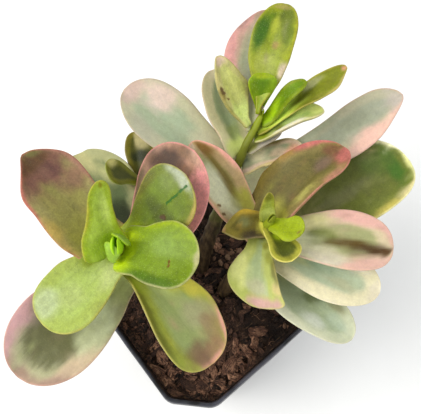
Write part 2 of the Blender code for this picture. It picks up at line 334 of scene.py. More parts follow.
def black_plastic():
    """Thin recycled plastic: satin, with faint flow marks, scuffs, a little dry dust, and a painted bluish
    highlight along the lip.
    """
    finish = Finish("black_plastic", IOR=1.5, Specular_IOR_Level=0.38, Coat_Roughness=0.3)
    place = finish.objects_place()
    flow = finish.noise(finish.mapped(place, (90, 90, 520)), 1.0, 3)
    clouds = finish.noise(place, 70, 4, 0.6)
    grain = finish.noise(place, 1500, 2)
    scuffs = finish.noise(finish.mapped(place, (160, 160, 1400)), 1.0, 5, 0.65).step(0.6, 0.74)
    dust = (clouds + grain * 0.35).step(0.6, 0.95)
    plain = finish.mix("0c0c0e", "1a1b20", clouds.step(0.3, 0.75))
    # painted highlight: in patches, the top few mm of the lip are tinted a pale bluish grey for the light
    # that the rim reflects
    height_mm = finish.node("ShaderNodeSeparateXYZ", None, {"Vector": place}, output=2) * 1000
    top_mm = RIM_TOP * 1000
    rim = height_mm.step(top_mm - 3.4, top_mm - 0.4) * clouds.step(0.3, 0.6)
    scuffed_and_rim_highlit = finish.mix(finish.mix(plain, "3c3d44", scuffs * 0.6), "5a5c6a", rim * 0.5)
    dusty = finish.mix(scuffed_and_rim_highlit, "5d5348", dust * 0.2)
    roughness = 0.3 + flow * 0.12 + dust * 0.28 + scuffs * 0.14
    normal = finish.bump(flow * 0.5 + grain * 0.22 + scuffs * 0.15, 0.12 * MM, 0.6)
    return finish.cover(Base_Color=dusty, Roughness=roughness, Coat_Weight=0.1 + clouds * 0.2, Normal=normal)


def potting_soil():
    """Moist dark peat with lighter fibres and grains. Its tint attribute is higher on paler pieces, and lower
    towards +x as painted shade.
    """
    finish = Finish("potting_soil", IOR=1.35)
    place = finish.objects_place()
    clumps = finish.noise(place, 170, 5, 0.65)
    grains = finish.cells(place, 900)
    fine = finish.noise(place, 1400, 4, 0.6)
    fibres = finish.noise(finish.mapped(place, (260, 1700, 700)), 1.0, 3, 0.5, 0.6).step(0.6, 0.72)
    tint = finish.attribute("tint")
    dark = finish.mix("0f0805", "301f15", clumps.step(0.35, 0.7))
    grainy = finish.mix(dark, "6d4c3a", (fine * tint).step(0.3, 0.65))
    fibrous = finish.mix(grainy, "7d5d45", fibres * 0.4)
    pale = finish.mix(fibrous, "94836c", tint.step(1.2, 2.0))
    normal = finish.bump(clumps + fine * 0.6 - grains * 0.5, 0.8 * MM, 0.8)
    return finish.cover(Base_Color=pale, Roughness=0.78 + fine * 0.2, Normal=normal)


def bark():
    """Splintered conifer bark: rusty layers with a long grain and pale torn edges."""
    finish = Finish("bark", IOR=1.4)
    layers = finish.noise(finish.mapped(finish.uv_place("grain"), (40, 420, 1)), 1.0, 4, 0.6, 0.4)
    flakes = finish.noise(finish.objects_place(), 380, 4, 0.6)
    pits = finish.cells(finish.objects_place(), 1100)
    tint = finish.attribute("tint")
    brown = finish.mix("22130d", "6a4430", layers.step(0.32, 0.68) * (tint + 0.25).step(0, 1))
    rusty = finish.mix(brown, "b4876a", (flakes * layers).step(0.2, 0.38) * tint)
    dirty = finish.mix(rusty, "1a0f0a", pits.step(0.42, 0.15) * 0.6)
    normal = finish.bump(layers + flakes * 0.6 - pits * 0.3, 0.5 * MM, 0.9)
    return finish.cover(Base_Color=dirty, Roughness=0.72 + flakes * 0.25, Normal=normal)


def stem_skin():
    """Succulent stem: brown and wrinkled by the soil, fresh green by the tip. Its brown is mixed dark as
    painted shade under the leaves.
    """
    flesh = {"Subsurface_Weight": 0.12, "Subsurface_Scale": 1.5 * MM, "Subsurface_Radius": (1.0, 0.8, 0.3)}
    finish = Finish("stem_skin", IOR=1.42, Specular_IOR_Level=0.25, **flesh)
    place = finish.objects_place()
    age = finish.attribute("age")
    wrinkles = finish.noise(finish.mapped(place, (700, 700, 130)), 1.0, 4, 0.6)
    blotches = finish.noise(place, 230, 3)
    youth = (age + (blotches - 0.5) * 0.35).step(0.3, 0.75)
    # painted shade: the old brown skin is mixed darker to stand for the shade that the leaves cast on the low
    # stems
    old = finish.mix("2c2014", "54432c", wrinkles.step(0.35, 0.65))
    stalk_green = finish.mix("6e7424", "8a9820", age.step(0.8, 1.0))
    young = finish.mix(stalk_green, "a0cc1c", age.step(1.05, 1.3))
    skin = finish.mix(old, young, youth)
    corky = finish.mix(skin, "65563c", wrinkles.step(0.6, 0.75) * (1 - youth) * 0.7)
    normal = finish.bump(wrinkles * (1.15 - youth), 0.35 * MM, 0.8)
    return finish.cover(Base_Color=corky, Roughness=0.62 - youth * 0.15, Normal=normal)


LEAF_UV = 50  # mm of a leaf that its UV maps show as 1


def scarred(finish, colour, place, marks):
    """A leaf's colour with its scars and creases drawn on it, and how deep each place lies in one."""
    depth = 0
    wobble = (finish.noise(place, 45, 4) - 0.5) * 0.03
    for (x, y), (end_x, end_y), half_width, tone in marks:
        along = ((end_x - x) / LEAF_UV, (end_y - y) / LEAF_UV, 0)
        length_squared = along[0] ** 2 + along[1] ** 2 + 1e-9
        offset = finish.vector("SUBTRACT", place, (x / LEAF_UV, y / LEAF_UV, 0))
        share = finish.vector("DOT_PRODUCT", offset, along, output="Value") * (1 / length_squared)
        nearest = finish.vector("SCALE", along, finish.node("ShaderNodeClamp", None, {"Value": share}))
        gap = finish.vector("DISTANCE", offset, nearest, output="Value")
        inside = 1 - (gap + wobble).step(half_width * 0.1 / LEAF_UV, half_width * 1.1 / LEAF_UV)
        colour = finish.mix(colour, tone, inside * 0.9)
        depth = inside + depth
    return colour, depth


def leaf_skin(name, speckle, wax, gloss, mottling, marks=()):
    """Waxy succulent skin. Each leaf's own colours are painted on it as attributes: skin, heart and rim."""
    flesh = {"Subsurface_Weight": 0.14, "Subsurface_Scale": 1.6 * MM, "Subsurface_Radius": (1.0, 0.9, 0.35)}
    finish = Finish(name, IOR=1.45, Specular_IOR_Level=gloss, Coat_Roughness=0.36, **flesh)
    place = finish.uv_place("blade")
    streaks = finish.noise(finish.mapped(place, (46, 5, 1)), 1.0, 4, 0.6, 0.4)
    clouds = finish.noise(place, 11, 4, 0.6, 0.3)
    blotches = finish.noise(place, 28, 4, 0.62, 0.5)
    grain = finish.noise(place, 95, 3, 0.6)
    pores = finish.cells(place, 110)
    skin, heart, rim = (finish.attribute(colour, "Color") for colour in ("skin", "heart", "rim"))
    edge, upper = finish.attribute("edge"), finish.attribute("upper")
    inner = (finish.attribute("inner") + (streaks - 0.5) * 0.8 + (clouds - 0.5) * 0.5).step(0.1, 0.9)
    body = finish.mix(skin, heart, inner)
    rim_line = (1 - (edge + (clouds - 0.5) * 0.7).step(0.05, 0.7)) * (0.28 + clouds.step(0.35, 0.6) * 0.45)
    edged = finish.mix(body, rim, rim_line)
    unevenness = clouds * 0.24 + blotches * 0.76 + grain * 0.48 + streaks * 0.26 - 0.87
    mottled = finish.vector("SCALE", edged, 1 + unevenness * mottling * finish.attribute("mottle"))
    dots = pores.step(0.3, 0.12) * speckle
    speckled = finish.mix(mottled, "c9d68c", dots * 0.2)
    under = finish.mix(speckled, "8c9a62", (1 - upper) * 0.3)
    roughness = 0.44 + clouds * 0.12 + (grain - 0.5) * 0.1
    height = streaks * 0.3 + grain * 0.4 + blotches * 0.5 - dots * 0.5 + (1 - edge.step(0.0, 0.9)) * 0.5
    if marks:
        under, depth = scarred(finish, under, finish.uv_place("flat"), marks)
        height = height - depth * 1.5
    coat, normal = wax * (0.6 + clouds * 0.5), finish.bump(height, 0.16 * MM, 0.6)
    return finish.cover(Base_Color=under, Roughness=roughness, Coat_Weight=coat, Normal=normal)


# The pot: a thin square one with cut-off corners, a narrow lip and four drain holes

FLOOR_HALF = 25 * MM
WALL = 0.6 * MM
LIP_HEIGHT = 3 * MM
LIP_REACH = 0.65 * MM  # from the wall outwards
CORNER_CUT = 0.33  # what a corner's cut takes off each side, as a share of the half width
CORNER_SOFTNESS = 0.195  # how far the cut's ends are rounded, as a share of the cut
FOOT_RING = 2.5 * MM  # width of the ring that the pot stands on
FOOT_HOLLOW = 0.35 * MM  # how far the underside lies above it
DRAIN_RADIUS = 2.4 * MM
DRAIN_OFFSET = 13 * MM  # from the middle, both ways


def wall_half(height):
    """Half width across the outside of the wall."""
    return FLOOR_HALF + (RIM_HALF - LIP_REACH - FLOOR_HALF) * height / RIM_TOP


def inner_half(height, clearance=0.0):
    """Half width of what fits inside the wall with a clearance."""
    return wall_half(height) - WALL - clearance


def raise_top(piece, profile):
    """Extrudes the selected level face along a list of (half width, height), from the pair it lies on."""
    for (half, height), (next_half, next_height) in zip(profile, profile[1:]):
        bpy.ops.mesh.extrude_region_move(TRANSFORM_OT_translate={"value": (0, 0, next_height - height)})
        share = next_half / half
        bpy.ops.transform.resize(value=(share, share, 1), center_override=(0, 0, next_height))


def pot_profile(foot, slab):
    """(half width, height) up the outside of the wall, over the lip and down the inside to the floor."""
    rim, top = RIM_HALF, RIM_TOP
    lip = top - LIP_HEIGHT
    outside = [lip * share for share in (0.2, 0.4, 0.6, 0.8, 0.97, 1)]
    inside = (0.8 * top, 0.55 * top, 0.3 * top, 2 * MM)
    profile = [(foot, slab), (wall_half(0.5 * MM), 0.9 * MM)]
    profile += [(wall_half(height), height) for height in outside]
    profile += [
        (rim - 0.55 * MM, lip + 0.05 * MM),
        (rim - 0.15 * MM, lip + 0.25 * MM),
        (rim, lip + 0.8 * MM),
        (rim, top - 0.8 * MM),
        (rim - 0.15 * MM, top - 0.2 * MM),
        (rim - 0.4 * MM, top),
        (rim - 0.75 * MM, top),
        (rim - 1.1 * MM, top - 0.25 * MM),
        (inner_half(top - 1.2 * MM), top - 1.2 * MM),
    ]
    profile += [(inner_half(height), height) for height in inside]
    return profile + [(wall_half(WALL) - 1.8 * WALL, WALL)]


def upright(points):
    return abs(points[0].z - points[1].z) > 0.1 * MM


def long_and_level(points):
    return (points[0] - points[1]).length > 14 * MM and abs(points[0].z - points[1].z) < 0.01 * MM


def drill_drains(pot):
    for x in (-DRAIN_OFFSET, DRAIN_OFFSET):
        for y in (-DRAIN_OFFSET, DRAIN_OFFSET):
            size = {"vertices": 24, "radius": DRAIN_RADIUS, "depth": 6 * MM}
            bpy.ops.mesh.primitive_cylinder_add(location=(x, y, 0), **size)
            drill = bpy.context.active_object
            apply_modifier(pot, "drain_hole", "BOOLEAN", operation="DIFFERENCE", object=drill, solver="EXACT")
            bpy.data.objects.remove(drill, do_unlink=True)


def bow_walls(pot):
    """Bends the thin walls a little in and out towards the top, and makes the lip uneven."""
    points, top = points_of(pot), RIM_TOP
    bow = 0.005 * field(points * 45, 3) + 0.005 * field(points * 130, 4) - 0.005
    points[:, :2] *= (1 + bow * smooth_step(points[:, 2], 0.5 * top, top))[:, None]
    points[:, 2] -= 0.25 * MM * smooth_step(points[:, 2], 0.9 * top, top) * (1 + field(points * 60, 5)) / 2
    move_points(pot, points)


def make_pot():
    foot, slab = FLOOR_HALF - 1 * MM, 0.3 * MM
    bpy.ops.mesh.primitive_cube_add(size=2, location=(0, 0, slab / 2), scale=(foot, foot, slab / 2))
    pot = named("nursery_pot")
    edit(pot)
    cut = foot * CORNER_CUT
    select_only(pot, "EDGE", upright)
    bpy.ops.mesh.bevel(offset=cut, offset_type="OFFSET", segments=1)
    select_only(pot, "EDGE", upright)
    bpy.ops.mesh.bevel(offset=cut * CORNER_SOFTNESS, offset_type="OFFSET", segments=4)
    select_only(pot, "FACE", lambda points, normal: normal.z > 0.9)
    raise_top(pot, pot_profile(foot, slab))
    select_only(pot, "FACE", lambda points, normal: normal.z < -0.9 and points[0].z < 0.01 * MM)
    bpy.ops.mesh.inset(thickness=FOOT_RING)
    bpy.ops.mesh.extrude_region_move(TRANSFORM_OT_translate={"value": (0, 0, FOOT_HOLLOW)})
    select_only(pot, "EDGE", lambda points: long_and_level(points) and points[0].z > 0.5 * MM)
    bpy.ops.mesh.subdivide(number_cuts=7)
    leave_edit()
    drill_drains(pot)
    bow_walls(pot)
    pick(pot)
    bpy.ops.object.shade_smooth_by_angle(angle=math.radians(32))
    finish_piece(pot, black_plastic(), "black_plastic", "pot")


# Soil, crumbs and bark

SOIL_CELLS = 110
SOIL_EDGE = 58.4 * MM  # the soil is banked up a little along the wall
SOIL_HOLLOW = 56.6 * MM  # its lowest hollows
SOIL_BY_STEM = 56.4 * MM  # where it closes round a stem
SOIL_BY_WALL = 55.8 * MM  # below the bank
CAD_EDGE = 55.9 * MM  # the CAD soil's edge lies below this, and its top above
CAD_HOLE = 54 * MM  # the holes that the stems leave in it are deeper than this
CAD_SOIL_SIDE = 29 * MM  # how far out its top reaches
DROP_HEIGHT = 80 * MM

# Loose bits lie in heaps of (x, y, spread, count), with lengths in mm. A heap with no place lies all over.
CRUMBS = ((None, None, 0, 1500),)
PALE_BITS = (
    (16, 10, 3.5, 20),
    (22, 7, 3, 12),
    (8, -22, 9, 5),
    (-22, -12, 9, 5),
    (-5, 10, 14, 6),
    (14, 26, 8, 6),
)
ROOTLETS = ((None, None, 0, 70),)
LOOSE_BARK = (  # with the brightness of each heap, most of it in the front corner
    (-25, -18, 7, 38, 1.1),
    (-9, -29, 6, 30, 1.1),
    (-22, -29, 4, 14, 1.1),
    (3, -6, 9, 22, 0.5),
    (0, 0, 30, 60, 0.25),
)


def drop_onto(tree, x, y):
    """Where a thing dropped from above meets a surface, if it does."""
    return tree.ray_cast(Vector((x, y, DROP_HEIGHT)), Vector((0, 0, -1)))[0]


def ground_height(cad_soil, x, y):
    """The CAD soil's top, made level across the holes that the stems leave in it and beyond its edge."""
    hit = drop_onto(cad_soil, x, y)
    if hit and hit.z > CAD_EDGE:
        return max(hit.z, SOIL_HOLLOW)
    return SOIL_BY_STEM if hit and hit.z < CAD_HOLE else SOIL_BY_WALL


def outline_reach(angle):
    """Reach of the cut-cornered square of half width 1 in a direction."""
    x, y = abs(math.cos(angle)), abs(math.sin(angle))
    return min(1 / max(x, y), (2 - CORNER_CUT) / (x + y))


def painted_shade(x):
    """0 to 1: painted shade, which darkens the soil towards +x, where the leaves shade it."""
    return smooth_step(x, -8 * MM, 22 * MM)


def fill_outline(points, half):
    """Spreads a square grid out to the pot's outline, and gives how far out each point is, from 0 to 1."""
    nearness = np.abs(points[:, :2]).max(1)
    for point, share in zip(points, nearness):
        angle = math.atan2(point[1], point[0])
        reach = outline_reach(angle) * share * half
        point[:2] = math.cos(angle) * reach, math.sin(angle) * reach
    return nearness


def make_soil(finish):
    """A lumpy top within the walls, which goes down along them to the pot's floor."""
    half = inner_half(SOIL_EDGE, 0.2 * MM)
    mesh = frame["nodes"]["soil"].data
    cad_soil = BVHTree.FromPolygons([v.co for v in mesh.vertices], [p.vertices[:] for p in mesh.polygons])
    bpy.ops.mesh.primitive_grid_add(x_subdivisions=SOIL_CELLS, y_subdivisions=SOIL_CELLS, size=2)
    soil = named("potting_soil")
    points = points_of(soil)
    nearness = fill_outline(points, half)
    within = np.clip(points[:, 0], -CAD_SOIL_SIDE, CAD_SOIL_SIDE)
    points[:, 2] = [ground_height(cad_soil, x, y) for x, y in zip(within, points[:, 1])]
    edge = smooth_step(nearness, 0.9, 1.0)
    points[:, 2] = points[:, 2] * (1 - edge) + SOIL_EDGE * edge
    clods, lumps, grit = field(points * 260, 1), np.abs(field(points * 620, 2)), field(points * 1500, 3)
    points[:, 2] += (0.55 * clods + 0.5 * lumps + 0.25 * grit - 0.2) * MM * (1 - 0.5 * edge)
    move_points(soil, points)
    edit(soil)
    bpy.ops.mesh.select_all(action="DESELECT")
    bpy.context.tool_settings.mesh_select_mode = (False, True, False)
    bpy.ops.mesh.select_non_manifold()
    bottom = WALL + 0.3 * MM
    bpy.ops.mesh.extrude_region_move(TRANSFORM_OT_translate={"value": (0, 0, bottom - SOIL_EDGE)})
    narrowing = inner_half(bottom, 0.35 * MM) / half
    bpy.ops.transform.resize(value=(narrowing, narrowing, 0), center_override=(0, 0, bottom))
    bpy.ops.mesh.edge_face_add()
    bpy.ops.mesh.select_all(action="SELECT")
    bpy.ops.mesh.normals_make_consistent(inside=False)
    leave_edit()
    soil.data.shade_smooth()
    # painted shade: the soil's tint is lower towards +x
    write_numbers(soil, "tint", 0.75 - 0.45 * painted_shade(points_of(soil)[:, 0]))
    finish_piece(soil, finish, "potting_soil", "soil")
    return BVHTree.FromObject(soil, bpy.context.evaluated_depsgraph_get())


def take_shape(piece, points):
    """Removes a modelled piece and gives its moved points and its faces, for scattering."""
    faces = [list(face.vertices) for face in piece.data.polygons]
    bpy.data.objects.remove(piece, do_unlink=True)
    return points, faces


def crumb_shapes(count):
    """A few irregular grains about 1 across, as (points, faces)."""
    shapes = []
    for number in range(count):
        bpy.ops.mesh.primitive_ico_sphere_add(subdivisions=2 if number % 2 else 1, radius=0.5)
        grain = named("grain")
        points = points_of(grain)
        points *= (1 + 0.45 * field(points * 2.3, number + 20))[:, None]
        points *= (1, 0.62 + 0.1 * (number % 4), 0.5 + 0.08 * (number % 3))
        shapes.append(take_shape(grain, points))
    return shapes


def scatter(name, shapes, places, finish, slot):
    """Joins copies of the shapes into one piece. A place is (centre, turn, size, tint)."""
    all_points, all_faces, grain, tints = [], [], [], []
    start = 0
    for number, (centre, turn, size, tint) in enumerate(places):
        points, faces = shapes[number % len(shapes)]
        all_points.append(points * size @ np.array(turn).T + centre)
        grain.append(table(points[:, 0], points[:, 1] + points[:, 2]) * size * 10 + number * 0.7)
        all_faces += [[start + corner for corner in face] for face in faces]
        tints += [tint] * len(points)
        start += len(points)
    points = np.vstack(all_points)
    room = inner_half(points[:, 2], 0.3 * MM)
    reach = np.maximum(np.abs(points[:, :2]).max(1), np.abs(points[:, :2]).sum(1) / (2 - CORNER_CUT))
    points[:, :2] *= np.minimum(1, room / reach)[:, None]
    mesh = bpy.data.meshes.new(name)
    mesh.from_pydata(points.tolist(), [], all_faces)
    mesh.update()
    piece = add_object(name, mesh)
    write_numbers(piece, "tint", tints)
    write_uv(piece, "grain", np.vstack(grain))
    finish_piece(piece, finish, slot)


def free_place(rng, ground, x, y, spread):
    """A random place on the soil inside the walls: spread round (x, y), or anywhere."""
    half = inner_half(SOIL_EDGE, 1.2 * MM)
    while True:
        if x is None:
            at = rng.uniform(-half, half), rng.uniform(-half, half)
        else:
            at = rng.gauss(x * MM, spread * MM), rng.gauss(y * MM, spread * MM)
        if max(abs(at[0]), abs(at[1])) < half and abs(at[0]) + abs(at[1]) < (2 - CORNER_CUT) * half:
            return drop_onto(ground, *at)


def random_turn(rng, tilt):
    return (
        Matrix.Rotation(rng.uniform(0, 2 * math.pi), 3, "Z")
        @ Matrix.Rotation(rng.uniform(-tilt, tilt), 3, "X")
        @ Matrix.Rotation(rng.uniform(-tilt, tilt), 3, "Y")
    )


def heaped(rng, ground, heaps, tilt, size_of, lift_of, tint_of):
    """A random place for each loose bit of the heaps: its centre, turn, size and tint."""
    places = []
    for x, y, spread, count, *brightness in heaps:
        for _ in range(count):
            size = size_of()
            spot = free_place(rng, ground, x, y, spread) + Vector((0, 0, lift_of(size)))
            places.append((np.array(spot), random_turn(rng, tilt), size, tint_of(spot, *brightness)))
    return places


def make_crumbs(ground, finish):
    """Crumbs of peat all over the soil, and heaps of paler bits."""
    rng = random.Random(7)
    shapes = crumb_shapes(8)
    places = heaped(
        rng, ground, CRUMBS, 1.0,
        size_of=lambda: min(4.6, 0.5 + rng.expovariate(1.3)) * MM,
        lift_of=lambda size: rng.uniform(-0.1, 0.25) * size,
        # painted shade: crumbs towards +x are darker
        tint_of=lambda spot: rng.uniform(0.35, 1.1) * (1 - 0.6 * painted_shade(spot.x)),
    )
    scatter("soil_crumbs", shapes, places, finish, "potting_soil")
    places = heaped(
        rng, ground, PALE_BITS, 1.0,
        size_of=lambda: rng.uniform(0.8, 3.4) * MM,
        lift_of=lambda size: 0.1 * size,
        tint_of=lambda spot: rng.uniform(1.15, 1.5),
    )
    scatter("soil_pale_bits", shapes[::-1], places, finish, "potting_soil")


def splinter_shape(number):
    """A torn flat flake of bark, 1 long."""
    width, thickness = 0.42 + 0.09 * (number % 3), 0.14 + 0.05 * (number % 2)
    bpy.ops.mesh.primitive_cube_add(size=1, scale=(1, width, thickness))
    splinter = named("splinter")
    edit_all(splinter)
    bpy.ops.mesh.bevel(offset=thickness * 0.3, offset_type="OFFSET", segments=1)
    select_only(splinter, "EDGE", lambda points: abs(points[0].x - points[1].x) > 0.5)
    bpy.ops.mesh.subdivide(number_cuts=3)
    leave_edit()
    points = points_of(splinter)
    points[:, 1] *= 1 - 0.5 * (points[:, 0] + 0.5) ** 2
    points[:, 0] += 0.35 * points[:, 1] * math.copysign(1, math.sin(number * 2.3))
    points += 0.07 * table(*(field(points * 3.1, number + shift) for shift in (61, 64, 67)))
    points[:, 2] += 0.16 * (points[:, 0] ** 2) * math.cos(number)
    return take_shape(splinter, points)


def make_loose_bark(ground, finish):
    """Flakes of bark lying on and half buried in the soil."""
    rng = random.Random(23)
    places = heaped(
        rng, ground, LOOSE_BARK, 0.4,
        size_of=lambda: rng.uniform(2.2, 6.8) * MM,
        lift_of=lambda size: rng.uniform(0.1, 0.7) * MM,
        tint_of=lambda spot, brightness: rng.uniform(0.1, 1) * brightness,
    )
    shapes = [splinter_shape(number) for number in range(7)]
    scatter("loose_bark", shapes, places, finish, "bark")


def rootlet_shape(bend):
    """A bent rootlet about 1 long, thinner at its ends."""
    bpy.ops.mesh.primitive_cylinder_add(vertices=5, radius=0.02, depth=1)
    rootlet = named("rootlet")
    edit(rootlet)
    select_only(rootlet, "EDGE", lambda points: abs(points[0].z - points[1].z) > 0.5)
    bpy.ops.mesh.subdivide(number_cuts=7)
    leave_edit()
    points = points_of(rootlet)
    along = points[:, 2].copy()
    points[:, :2] *= (1 - 1.5 * along**2)[:, None]
    points[:, 0] += bend * (along**2) + 0.06 * np.sin(along * 9)
    points[:, 1] += 0.05 * np.cos(along * 7 + bend * 4)
    return take_shape(rootlet, points[:, [2, 0, 1]])


def make_rootlets(ground, finish):
    """Fine pale roots lying on the soil."""
    rng = random.Random(11)
    places = heaped(
        rng, ground, ROOTLETS, 0.15,
        size_of=lambda: rng.uniform(3, 8) * MM,
        lift_of=lambda size: 0.35 * MM,
        tint_of=lambda spot: rng.uniform(1.0, 1.5),
    )
    shapes = [rootlet_shape(bend) for bend in (0.35, -0.5, 0.8)]
    scatter("soil_rootlets", shapes, places, finish, "potting_soil")


def make_chip(node, number, finish):
    """A splintered chip of bark: the node's outline with a layered, torn surface."""
    chip = copy_node(node, node.replace("bark_chip", "bark_piece"))
    edit_all(chip)
    bpy.ops.mesh.subdivide(number_cuts=3, smoothness=0.35)
    leave_edit()
    points = points_of(chip)
    centre = points.mean(0)
    level = points[:, :2] - centre[:2]
    _, _, axes = np.linalg.svd(level, full_matrices=False)
    along, across = level @ axes[0], level @ axes[1]
    height = points[:, 2] - centre[2]
    grain = table(along * 90, across * 480, height * 300)
    torn = field(grain, number) * 0.28 * MM + field(points * 700, number + 5) * 0.15 * MM
    outward = table(level[:, 0], level[:, 1], height * 2.2)
    outward /= np.linalg.norm(outward, axis=1)[:, None] + 1e-9
    points += outward * torn[:, None]
    points[:, 2] += 0.35 * MM * (along / np.abs(along).max()) ** 2 * math.copysign(1, math.sin(number * 2.1))
    move_points(chip, points)
    write_uv(chip, "grain", table(along, across + height) * 10 + number)
    write_numbers(chip, "tint", 0.45 + 0.4 * math.sin(number * 1.7) ** 2)
    chip.data.shade_smooth()
    finish_piece(chip, finish, "bark", node)


# Stems

STEM_FOOT = 56 * MM  # where a stem comes out of the soil
SCAR_SPACING = 6.5  # mm between the rings that old leaves left
CAD_TOP = (1, 0)
STEM_TOPS = {"back_stem": (0.66, 8.5)}  # thickness of a stem's top against the CAD's, and mm it is shorter
GROWING_TIPS = {  # size in mm, turn in degrees, and how fresh the green is
    "left_stem": (3.4, -39.6, 1.3),
    "right_stem": (1.8, -99, 0.9),
    "back_stem": (1.3, -59, 1),
    "low_stem": (1.8, -19, 0.9),
}


def make_stem(node, finish):
    """A stem with swollen nodes, corky rings of old leaf scars low down, and a smooth green top."""
    stem = copy_node(node, node.replace("stem", "stalk"))
    apply_modifier(stem, "round", "SUBSURF", levels=2, render_levels=2)
    points = points_of(stem)
    low, high = points[:, 2].min(), points[:, 2].max()
    age = (points[:, 2] - STEM_FOOT) / (high - STEM_FOOT)
    heights = np.linspace(low, high, 60)
    level = [points[np.abs(points[:, 2] - h) < 2.2 * MM].mean(0) for h in heights]
    middle = table(*(np.interp(points[:, 2], heights, [p[axis] for p in level]) for axis in (0, 1)))
    outward = points[:, :2] - middle
    reach = np.linalg.norm(outward, axis=1)[:, None] + 1e-9
    rings = np.abs(np.sin(points[:, 2] / MM * math.pi / SCAR_SPACING)) ** 14
    rough = field(points * (420, 420, 150), len(node)) * 0.22 + field(points * 800, len(node) + 2) * 0.1
    swell = (rings * 0.3 + rough) * MM * (1.1 - np.clip(age, 0, 1))
    points[:, :2] += outward / reach * swell[:, None]
    share, shorter = STEM_TOPS.get(node, CAD_TOP)
    points[:, :2] -= outward * ((1 - share) * smooth_step(age, 0.45, 0.7))[:, None]
    points[:, 2] -= shorter * MM * np.clip((age - 0.8) / 0.2, 0, 1)
    move_points(stem, points)
    write_numbers(stem, "age", np.clip(age, 0, 1))
    stem.data.shade_smooth()
    finish_piece(stem, finish, "stem_skin", node)


def make_growing_tip(stem, size, turn, freshness, finish):
    """Two tiny cupped leaves that close over the end of a stem."""
    points = points_of(frame["nodes"][stem])
    top = points[points[:, 2] > points[:, 2].max() - 1.2 * MM].mean(0)
    top[2] -= STEM_TOPS.get(stem, CAD_TOP)[1] * MM
    angle = math.radians(turn)
    facing = np.array([[math.cos(angle), math.sin(angle)], [-math.sin(angle), math.cos(angle)]])
    for side, word in ((1, "front"), (-1, "back")):
        bpy.ops.mesh.primitive_uv_sphere_add(segments=20, ring_count=14, radius=1)
        leaflet = named(f"{stem.replace('_stem', '')}_growing_tip_{word}")
        shape = points_of(leaflet)
        thick, wide, tall = shape.T
        wide = wide * 0.72 * (1 - 0.25 * tall)
        thick = thick * 0.2 * (1 - 0.3 * tall)
        cupped = 0.3 - 0.22 * tall**2 - 0.3 * wide**2 + 0.1 * tall
        shape = table((thick + cupped) * side, wide, tall + 0.55) * (size * MM)
        shape[:, :2] = shape[:, :2] @ facing
        move_points(leaflet, shape + top)
        edit_all(leaflet)
        bpy.ops.mesh.normals_make_consistent(inside=False)
        leave_edit()
        write_numbers(leaflet, "age", freshness)
        leaflet.data.shade_smooth()
        finish_piece(leaflet, finish, "stem_skin")


# Leaves


class Look(NamedTuple):
    """How one leaf is coloured and bent.

    A patch is (along, across, reach along, reach across, strength, colour): along runs from 0 at the base
    to 1 at the tip, and across from 1 at the left margin to -1 at the right one. left and right are the
    widths of the leaf's halves against its CAD node's, from its base to its tip.
    """

    heart: str  # colour of its middle
    skin: str  # colour towards its margins
    rim: str  # colour of its thin edge
    spread: float = 0.6  # how far across the heart reaches
    patches: tuple = ()
    left: tuple = (1.4, 1.15, 1, 1, 1, 1)
    right: tuple = (1.4, 1.15, 1, 1, 1, 1)
    sway: float = 0  # mm that its tip bends to the left
    reach: float = 1  # its length against the CAD leaf's
    light: float = 1  # painted light: how much lighter its colours are mixed, more for a leaf that lies in shade and less for one in full light
    drop: float = 0  # mm that its base lies lower on the stem
    mottle: float = 1  # how uneven its colours are
    wave: float = 0.35  # mm that its margins wave
    marks: tuple = ()  # (start, end, half width, colour) of its scars, in mm to the left and from the base


